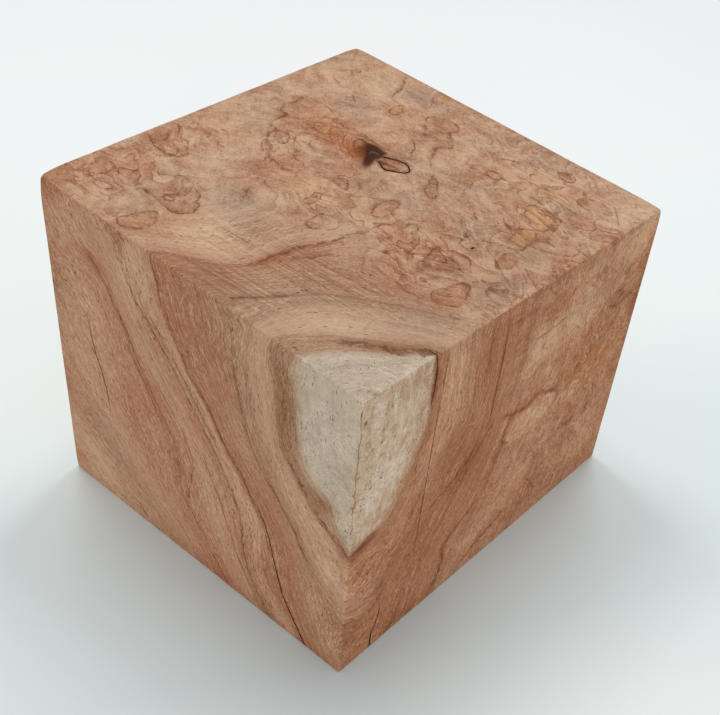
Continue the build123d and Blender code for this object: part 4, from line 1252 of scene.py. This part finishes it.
# %% Tell the kinds of wood apart
# Where each kind begins and where it is full: depth of growth, x, y, and depth below the top, in millimetres.
SAP_EDGE, SIDE_EDGE, FRONT_EDGE, TOP_EDGE = (-7.0, -10.0), (63.0, 65.0), (-74.0, -76.0), (1.1, 0.3)
depth, warmth, yellow = finish.parts(finish.attribute("tone", "Vector"))
burl_share, saw_share, knot_share = finish.parts(finish.attribute("marks", "Vector"))
top_normal, top_reach = faces["top"]
kinds = {
    "burl": burl_share,
    "saw": saw_share,
    "sap": finish.step(level, *SAP_EDGE),
    "side": finish.step(place_x, *SIDE_EDGE),
    "front": finish.step(place_y, *FRONT_EDGE),
    "top": finish.step(float(top_reach / MM) - along_direction(top_normal), *TOP_EDGE),
}


def by_kind(amount, **changes):
    """An amount plus what each kind of wood adds to it."""
    for name, change in changes.items():
        amount = amount + kinds[name] * change
    return amount


def scaled(amount, **changes):
    """An amount that each kind of wood makes larger, or smaller, by a share."""
    for name, change in changes.items():
        amount = amount * by_kind(1, **{name: change})
    return amount


def deeper(noise, amount):
    """Deeper wood where a noise is low and paler wood where it is high, by an amount."""
    return (0.5 - noise) * amount


# %% Streaks, hairs and pores along the fibre
# Each texture along the fibre: waves per millimetre across it and along it, detail and roughness.
FIBRE_TEXTURES = {
    "streak": (0.42, 0.02, 5.0, 0.62),
    "thread": (1.1, 0.014, 3.0, 0.7),
    "hair": (2.2, 0.26, 3.0, 0.7),
    "grain": (3.0, 0.9, 2.0, 0.6),
    "fleck": (2.0, 0.36, 1.0, 0.5),
}
STREAK_DEPTH, HAIR_DEPTH, FLECK_DEPTH, GRAIN_DEPTH = 0.9, 2.2, 0.4, 1.5
FLECK_EDGE = (0.62, 0.76)
# Threads are strongest around one depth of growth, and pores are most crowded around another.
THREAD_LEVEL, THREAD_SPREAD, THREAD_DEPTHS = 64.0, (34.0, 12.0), (0.5, 0.7)
PORE_LEVEL, PORE_SPREAD, PORE_CROWD = 54.0, (7.0, 2.0), 0.35
PORE_WAVES, PORE_EDGE, PORE_ODDS = (1.5, 0.4), (0.36, 0.16), (0.84, 0.94)


def fibre_place(across, along):
    """A place measured across and along the fibre, so that a texture stretches with the growth."""
    return finish.vector(level * across, fibre_along * along, fibre_across * along)


streak, thread, hair, grain, fleck = (
    finish.noise(fibre_place(across, along), detail=detail, roughness=roughness)
    for across, along, detail, roughness in FIBRE_TEXTURES.values()
)
thread_depth = THREAD_DEPTHS[0] + finish.step(abs(level - THREAD_LEVEL), *THREAD_SPREAD) * THREAD_DEPTHS[1]
long_grain = deeper(streak, STREAK_DEPTH) + deeper(thread, thread_depth)
short_grain = deeper(hair, HAIR_DEPTH) + finish.step(fleck, *FLECK_EDGE) * FLECK_DEPTH
fibre_depth = (
    scaled(long_grain, burl=-0.85, sap=-0.7, saw=-0.45, side=0.3)
    + scaled(short_grain, burl=-0.8, sap=-0.8, top=-0.4)
    + deeper(grain, by_kind(GRAIN_DEPTH, sap=-0.9, burl=-0.4, side=0.5))
)
pore_gap, pore_draw = (
    finish.node("TexVoronoi", {}, {"Vector": fibre_place(*PORE_WAVES), "Scale": 1.0}, output)
    for output in ("Distance", "Color")
)
pore_crowd = finish.step(abs(level - PORE_LEVEL), *PORE_SPREAD) * kinds["front"] * PORE_CROWD
pore_odds = finish.parts(pore_draw)[0] + by_kind(pore_crowd, sap=0.1, burl=-0.05)
pore = finish.step(pore_gap, *PORE_EDGE) * finish.step(pore_odds, *PORE_ODDS)

# %% Mottle and nested lines in the burl
# Each even texture: waves per millimetre, detail, roughness and distortion.
EVEN_TEXTURES = {
    "swirl": (0.075, 3.0, 0.55, 1.3),
    "cloudy": (0.13, 2.0, 0.5, 1.0),
    "mottle": (0.30, 3.0, 0.6, 0.9),
    "speck": (1.3, 3.0, 0.65, 0.0),
    "blush": (0.05, 2.0, 0.5, 0.0),
    "nest_patch": (0.22, 2.0, 0.5, 0.0),
    "sap_patch": (0.11, 2.0, 0.5, 0.0),
    "rim_patch": (0.17, 2.0, 0.5, 0.0),
}
BURL_LAYERS = unit((0.616, 0.512, 0.384))
HATCH_WAVES, HATCH_WAVES_ACROSS = (0.25, 0.25, 0.25), 1.3
CLOUDY_DEPTH, MOTTLE_DEPTH, SPECK_DEPTH, HATCH_DEPTH = 1.1, 0.6, 0.7, 0.5
# Nested lines: a slow flow cut into steps. Each step starts with a fine line and pales towards the next.
FLOW_WAVES, FLOW_STEPS = (0.054, 0.086, 0.08), 7.0
NEST_START, NEST_LINE_END, NEST_PATCH = 0.06, 0.22, (0.42, 0.62)
TERRACE_MIDDLE, TERRACE_DEPTHS = 0.4, (0.2, 0.5)
swirl, cloudy, mottle, speck, blush, nest_patch, sap_patch, rim_patch = (
    finish.noise(place, *settings) for settings in EVEN_TEXTURES.values()
)


def stretched(waves):
    """The place with each coordinate times its waves per millimetre."""
    return finish.node("VectorMath", {"operation": "MULTIPLY"}, {0: place, 1: waves})


hatch_lift = finish.node("VectorMath", {"operation": "SCALE"}, {
    0: tuple(BURL_LAYERS), "Scale": along_direction(BURL_LAYERS) * HATCH_WAVES_ACROSS,
})
hatch_place = finish.node("VectorMath", {"operation": "ADD"}, {0: stretched(HATCH_WAVES), 1: hatch_lift})
hatch = finish.noise(hatch_place, roughness=0.6)
flow = finish.noise(stretched(FLOW_WAVES), roughness=0.4, distortion=0.9) * FLOW_STEPS
nest = finish.node("Math", {"operation": "FRACT"}, {0: flow})
nest_start = finish.step(nest, 0.0, NEST_START)
figure_share = finish.attribute("figure")
nest_line = finish.step(nest, NEST_LINE_END, NEST_START) * nest_start
nest_line = nest_line * finish.step(nest_patch, *NEST_PATCH) * figure_share
terrace = ((1 - nest) * nest_start - TERRACE_MIDDLE) * (TERRACE_DEPTHS[0] + figure_share * TERRACE_DEPTHS[1])
burl_depth = deeper(cloudy, CLOUDY_DEPTH) + deeper(mottle, MOTTLE_DEPTH) + deeper(speck, SPECK_DEPTH)
burl_depth = scaled((burl_depth + deeper(hatch, HATCH_DEPTH) + terrace) * burl_share, side=0.5)

# %% Dashes, rings and ripple in the sapwood
DASH_WAVES_ACROSS, DASH_WAVES_ALONG = 3.2, 0.5
DASH_EDGE, DASH_PATCH, DASH_DEPTH, LEAST_DASH = (0.59, 0.66), (0.38, 0.6), 1.6, 0.2
# The rings of the top run around its near corner.
RING_WAVES_ACROSS, RING_WAVES_ALONG, RING_DEPTH = 0.8, 0.06, 1.2
RIPPLE_WAVES, RIPPLE_DEPTH = (0.1, 0.42, 0.16), 1.4
SAP_GRAIN_DEPTH, SAP_THREAD_DEPTH, SAP_CLOUDY_DEPTH, SAP_LIFT = 1.0, 0.25, 0.8, 0.08
sap_place = finish.vector(
    fibre_across * DASH_WAVES_ACROSS, fibre_along * DASH_WAVES_ALONG, fibre_deep * DASH_WAVES_ACROSS
)
sap_grain = finish.noise(sap_place, roughness=0.6)
dash_share = LEAST_DASH + finish.step(sap_patch, *DASH_PATCH, 1 - LEAST_DASH)
sap_dash = finish.step(sap_grain, *DASH_EDGE) * dash_share
near_corner = tuple(corners[1, 0, 1] / MM)
corner_gap = finish.measure("DISTANCE", place, near_corner)
ring_place = finish.vector(
    corner_gap * RING_WAVES_ACROSS, fibre_along * RING_WAVES_ALONG, fibre_across * RING_WAVES_ALONG
)
ring = finish.noise(ring_place, detail=3.0, roughness=0.7)
ripple = finish.noise(stretched(RIPPLE_WAVES), distortion=0.8)
sap_depth = (
    sap_dash * by_kind(DASH_DEPTH, side=0.3)
    + deeper(sap_grain, SAP_GRAIN_DEPTH)
    + deeper(thread, by_kind(SAP_THREAD_DEPTH, top=0.2))
    + deeper(ring, RING_DEPTH) * kinds["top"]
    + deeper(ripple, RIPPLE_DEPTH) * kinds["side"]
    + deeper(mottle, MOTTLE_DEPTH)
    + deeper(cloudy, SAP_CLOUDY_DEPTH)
    - SAP_LIFT
) * kinds["sap"]

# %% Rims, saw scratches and the sum of the tones
RIM_SWAY, RIM_TREMBLE = 7.5, 1.4
RIM_EDGE, RIM_PATCH, LEAST_INK = (1.35, 0.1), (0.36, 0.6), 0.25
# Wood is deeper on one side of a rim than on the other.
SHADE_FADE, SHADE_START, SHADE_DEPTH = (6.0, 0.0), (-0.3, 0.3), 0.25
# The saw left scratches that run nearly along x.
SCRATCH_WAVES, SCRATCH_TILT, SCRATCH_DEPTH = (0.018, 0.9, 0.05), 0.08, 2.3
BLUSH_WARMTH = 0.6


def extreme(operation, sockets):
    """The smallest or the largest of some sockets."""
    chosen, *others = sockets
    for other in others:
        chosen = chosen.math(operation, chosen, other)
    return chosen


sway = swing(mottle, RIM_SWAY) + swing(speck, RIM_TREMBLE)
sides = [
    side + sway for name in ("line_a", "line_b") for side in finish.parts(finish.attribute(name, "Vector"))
]
rim_gap = extreme("MINIMUM", [abs(side) for side in sides])
rim_shade = extreme("MAXIMUM", [
    finish.step(side, *SHADE_FADE) * finish.step(side, *SHADE_START) for side in sides
])
least_ink = by_kind(LEAST_INK, side=0.4)
ink = finish.step(rim_gap, *RIM_EDGE) * (least_ink + finish.step(rim_patch, *RIM_PATCH) * (1 - least_ink))
scratch_place = finish.vector(
    place_x * SCRATCH_WAVES[0],
    (place_y - place_x * SCRATCH_TILT) * SCRATCH_WAVES[1],
    place_z * SCRATCH_WAVES[2],
)
scratch = finish.noise(scratch_place, roughness=0.7)
all_depth = depth + fibre_depth + burl_depth + sap_depth + deeper(scratch, SCRATCH_DEPTH) * saw_share
all_depth = all_depth + rim_shade * SHADE_DEPTH + deeper(speck, SPECK_DEPTH)
all_warmth = warmth + swing(blush, by_kind(BLUSH_WARMTH, burl=1.2))

# %% Put the finish together
HEART_PULL, WARMTH_PULL, BROWN_PULL, DUST_AND_SHEEN_PULL = 0.85, 0.55, 0.9, 0.006
RIM_PULL, PORE_PULL, KNOT_PULL = 0.7, 0.75, 0.94
KNOT_EDGE, KNOT_SWAY = (0.14, 0.92), 0.7
HAIR_HEIGHT, SPECK_HEIGHT, INK_HEIGHT, SCRATCH_HEIGHT = 0.5, 0.4, 0.3, 0.5
BUMP_STRENGTH, BUMP_DISTANCE = 0.4, 0.15 * MM
ROUGHNESS, HAIR_ROUGHNESS, SHEEN = 0.62, 0.25, 0.02
# Each coat pulls the colour towards its own by a share. A share under nought counts as nought.
coats = (
    (finish.ramp(swirl, painted(HEARTS)), burl_share * HEART_PULL),
    (YELLOW, yellow),
    (ORANGE, all_warmth * WARMTH_PULL),
    (GREY, all_warmth * -WARMTH_PULL),
    (finish.mix(BROWN, SAP_BROWN, kinds["sap"]), all_depth * BROWN_PULL),
    (finish.mix(PALE, SAP_PALE, kinds["sap"]), all_depth * -1.0),
    # A faint white veil over all the wood: partly dust, partly painted sheen.
    (WHITE, DUST_AND_SHEEN_PULL),
    (RIM, ink * RIM_PULL),
    (RIM, nest_line * RIM_PULL),
    (INK, pore * by_kind(PORE_PULL, burl=-0.45, sap=-0.25)),
    (KNOT_INK, finish.step(knot_share + swing(mottle, KNOT_SWAY), *KNOT_EDGE) * KNOT_PULL),
)
colour = band
for shade, share in coats:
    colour = finish.mix(colour, shade, share)
height = hair * HAIR_HEIGHT + speck * SPECK_HEIGHT - pore - ink * INK_HEIGHT
height = height + scratch * saw_share * SCRATCH_HEIGHT
relief = finish.node("Bump", {}, {"Strength": BUMP_STRENGTH, "Distance": BUMP_DISTANCE, "Height": height})
surface = finish.node("BsdfPrincipled", {}, {
    "Base Color": colour,
    "Roughness": ROUGHNESS + swing(hair, HAIR_ROUGHNESS),
    "Specular IOR Level": SHEEN,
    "Normal": relief,
})
finish.node("OutputMaterial", {}, {"Surface": surface})
print("wood finish:", len(finish.tree.nodes), "nodes")

# %% The walls of the splits are painted dark brown: partly the older, darker wood inside a drying check,
# partly painted shade of the narrow splits. The knot's pit is greyer.
# A drying check shows older, darker wood inside, where dust and air have been. The knot's pit is greyer.
WALL_SHADES, WALL_WAVES = ((0.3, (46, 20, 11)), (0.7, (88, 45, 26))), 420.0
PIT_PLACE, PIT_EDGE, PIT_GREY = (-13.2, 19.3), (4.2 * MM, 2.8 * MM), paint(124, 98, 82)
WALL_ROUGHNESS, WALL_SHEEN = 0.8, 0.05
wall = Finish(split_wall)
wall_place = wall.node("TexCoord", {}, {}, "Object")
wall_shade = wall.ramp(wall.noise(wall_place, WALL_WAVES, detail=3.0, roughness=0.6), painted(WALL_SHADES))
pit_middle = tuple(on_face("top", (PIT_PLACE,))[0])
pit_gap = wall.measure("DISTANCE", wall_place, pit_middle)
wall_surface = wall.node("BsdfPrincipled", {}, {
    "Base Color": wall.mix(wall_shade, PIT_GREY, wall.step(pit_gap, *PIT_EDGE)),
    "Roughness": WALL_ROUGHNESS,
    "Specular IOR Level": WALL_SHEEN,
})
wall.node("OutputMaterial", {}, {"Surface": wall_surface})
print("split walls:", len(wall.tree.nodes), "nodes")

# %% [markdown]
# ## Floor and light
# The block stands on a pale floor, which fades into an equally pale backdrop. The floor is painted darker
# around the block's near corner, a painted shadow. An even white sky lights all faces nearly alike. Two
# soft lamps high on the left and behind make the top a little brighter and give the block its shadow, and a
# low lamp fills the two upright faces in view.

# %% Lay the floor
FLOOR_REACH = 3.0
# Tones of the floor by distance along one direction, from the front right to the back left, in metres.
# The darker tones around the block's near corner are painted shadow.
FLOOR_AWAY = (-0.85, 0.53, 0)
FLOOR_TONES_AND_SHADOW = (
    (-0.15, (248, 252, 252)), (-0.09, (227, 240, 242)), (0.0, (233, 245, 246)), (0.06, (243, 251, 250)),
    (0.45, (249, 250, 251)),
)
FLOOR_NEAR, FLOOR_FAR = FLOOR_TONES_AND_SHADOW[0][0], FLOOR_TONES_AND_SHADOW[-1][0]
FLOOR_FADE = (0.85, 0.28)
FLOOR_ROUGHNESS, FLOOR_SHEEN = 0.9, 0.1
floor_corners = [(x * FLOOR_REACH, y * FLOOR_REACH, 0) for x, y in ((-1, -1), (1, -1), (1, 1), (-1, 1))]
floor_mesh = bpy.data.meshes.new("floor")
floor_mesh.from_pydata(floor_corners, [], [(0, 1, 2, 3)])
floor = bpy.data.objects.new("floor", floor_mesh)
bpy.context.scene.collection.objects.link(floor)
floor_material = bpy.data.materials.new("floor")
floor_mesh.materials.append(floor_material)
ground = Finish(floor_material)
ground_place = ground.node("TexCoord", {}, {}, "Object")
ground_away = ground.measure("DOT_PRODUCT", ground_place, FLOOR_AWAY)
ground_share = (ground_away - FLOOR_NEAR) / (FLOOR_FAR - FLOOR_NEAR)
ground_gap = ground.measure("LENGTH", ground_place)
ground_surface = ground.node("BsdfPrincipled", {}, {
    "Base Color": ground.ramp(ground_share, painted(FLOOR_TONES_AND_SHADOW, FLOOR_NEAR, FLOOR_FAR)),
    "Roughness": FLOOR_ROUGHNESS,
    "Specular IOR Level": FLOOR_SHEEN,
    "Alpha": ground.step(ground_gap, *FLOOR_FADE),
})
ground.node("OutputMaterial", {}, {"Surface": ground_surface})
print("floor:", 2 * FLOOR_REACH, "m a side")

# %% Set the light
SKY_LEVEL, BACKDROP_LEVEL = 0.47, 0.87
SKY_COLOUR, BACKDROP_COLOUR = (1, 1, 1, 1), (0.97, 0.99, 1, 1)
# Each lamp: name, place, watts, width; all point at the middle of the block.
LAMPS = (
    ("left lamp", (-0.45, 0.12, 1.20), 3.8, 0.35),
    ("back lamp", (-0.10, 0.48, 1.20), 3.9, 0.35),
    ("low fill", (0.90, -0.97, 0.21), 5.6, 0.4),
)
BLOCK_MIDDLE = np.array([0, 0, 0.06])
world = bpy.data.worlds.new("even sky")
bpy.context.scene.world = world
sky = Finish(world)
seen = extreme("MAXIMUM", [sky.node("LightPath", {}, {}, ray) for ray in ("Is Camera Ray", "Is Glossy Ray")])
lit = sky.node("Background", {}, {"Color": SKY_COLOUR, "Strength": SKY_LEVEL})
backdrop = sky.node("Background", {}, {"Color": BACKDROP_COLOUR, "Strength": BACKDROP_LEVEL})
sky.node("OutputWorld", {}, {"Surface": sky.node("MixShader", {}, {0: seen, 1: lit, 2: backdrop})})
for name, spot, watts, width in LAMPS:
    lamp_data = bpy.data.lights.new(name, "AREA")
    lamp_data.energy, lamp_data.size = watts, width
    lamp = bpy.data.objects.new(name, lamp_data)
    lamp.location = spot
    lamp.rotation_euler = Vector(spot - BLOCK_MIDDLE).to_track_quat("Z", "Y").to_euler()
    bpy.context.scene.collection.objects.link(lamp)
    print(name, watts, "watts")

# %% [markdown]
# ## The camera
# The photograph looks down on the near upright edge, a little tilted. The camera stands where lines through
# the block's corners meet, and its lens gives the same narrowing.

# %% Set up the camera
CAMERA_PLACE = np.array([190.4, -242.4, 300.6]) * MM
CAMERA_AZIMUTH = math.radians(37.66)
CAMERA_ELEVATION = math.radians(38.80)
CAMERA_ROLL = math.radians(5.06)
SENSOR_WIDTH = 36.0
FOCAL_PIXELS, IMAGE_WIDTH = 1063.6, 720
NEAREST_SEEN = 0.01


def camera_turn(azimuth, elevation, roll):
    """Right, up and back as columns: back points to the camera, and the roll turns the other two."""
    back = np.array([
        math.sin(azimuth) * math.cos(elevation),
        -math.cos(azimuth) * math.cos(elevation),
        math.sin(elevation),
    ])
    across = unit(np.cross([0, 0, 1], back))
    upright = np.cross(back, across)
    right = math.cos(roll) * across + math.sin(roll) * upright
    up = -math.sin(roll) * across + math.cos(roll) * upright
    return np.column_stack((right, up, back))


pose = np.eye(4)
pose[:3, :3] = camera_turn(CAMERA_AZIMUTH, CAMERA_ELEVATION, CAMERA_ROLL)
pose[:3, 3] = CAMERA_PLACE
camera = bpy.data.objects.new("camera", bpy.data.cameras.new("camera"))
camera.data.sensor_width = SENSOR_WIDTH
camera.data.lens = SENSOR_WIDTH * FOCAL_PIXELS / IMAGE_WIDTH
camera.data.clip_start = NEAREST_SEEN
camera.matrix_world = Matrix(pose.tolist())
bpy.context.scene.collection.objects.link(camera)
bpy.context.scene.camera = camera
bpy.context.scene.view_settings.view_transform = "Standard"
print("lens, millimetres:", round(camera.data.lens, 2))
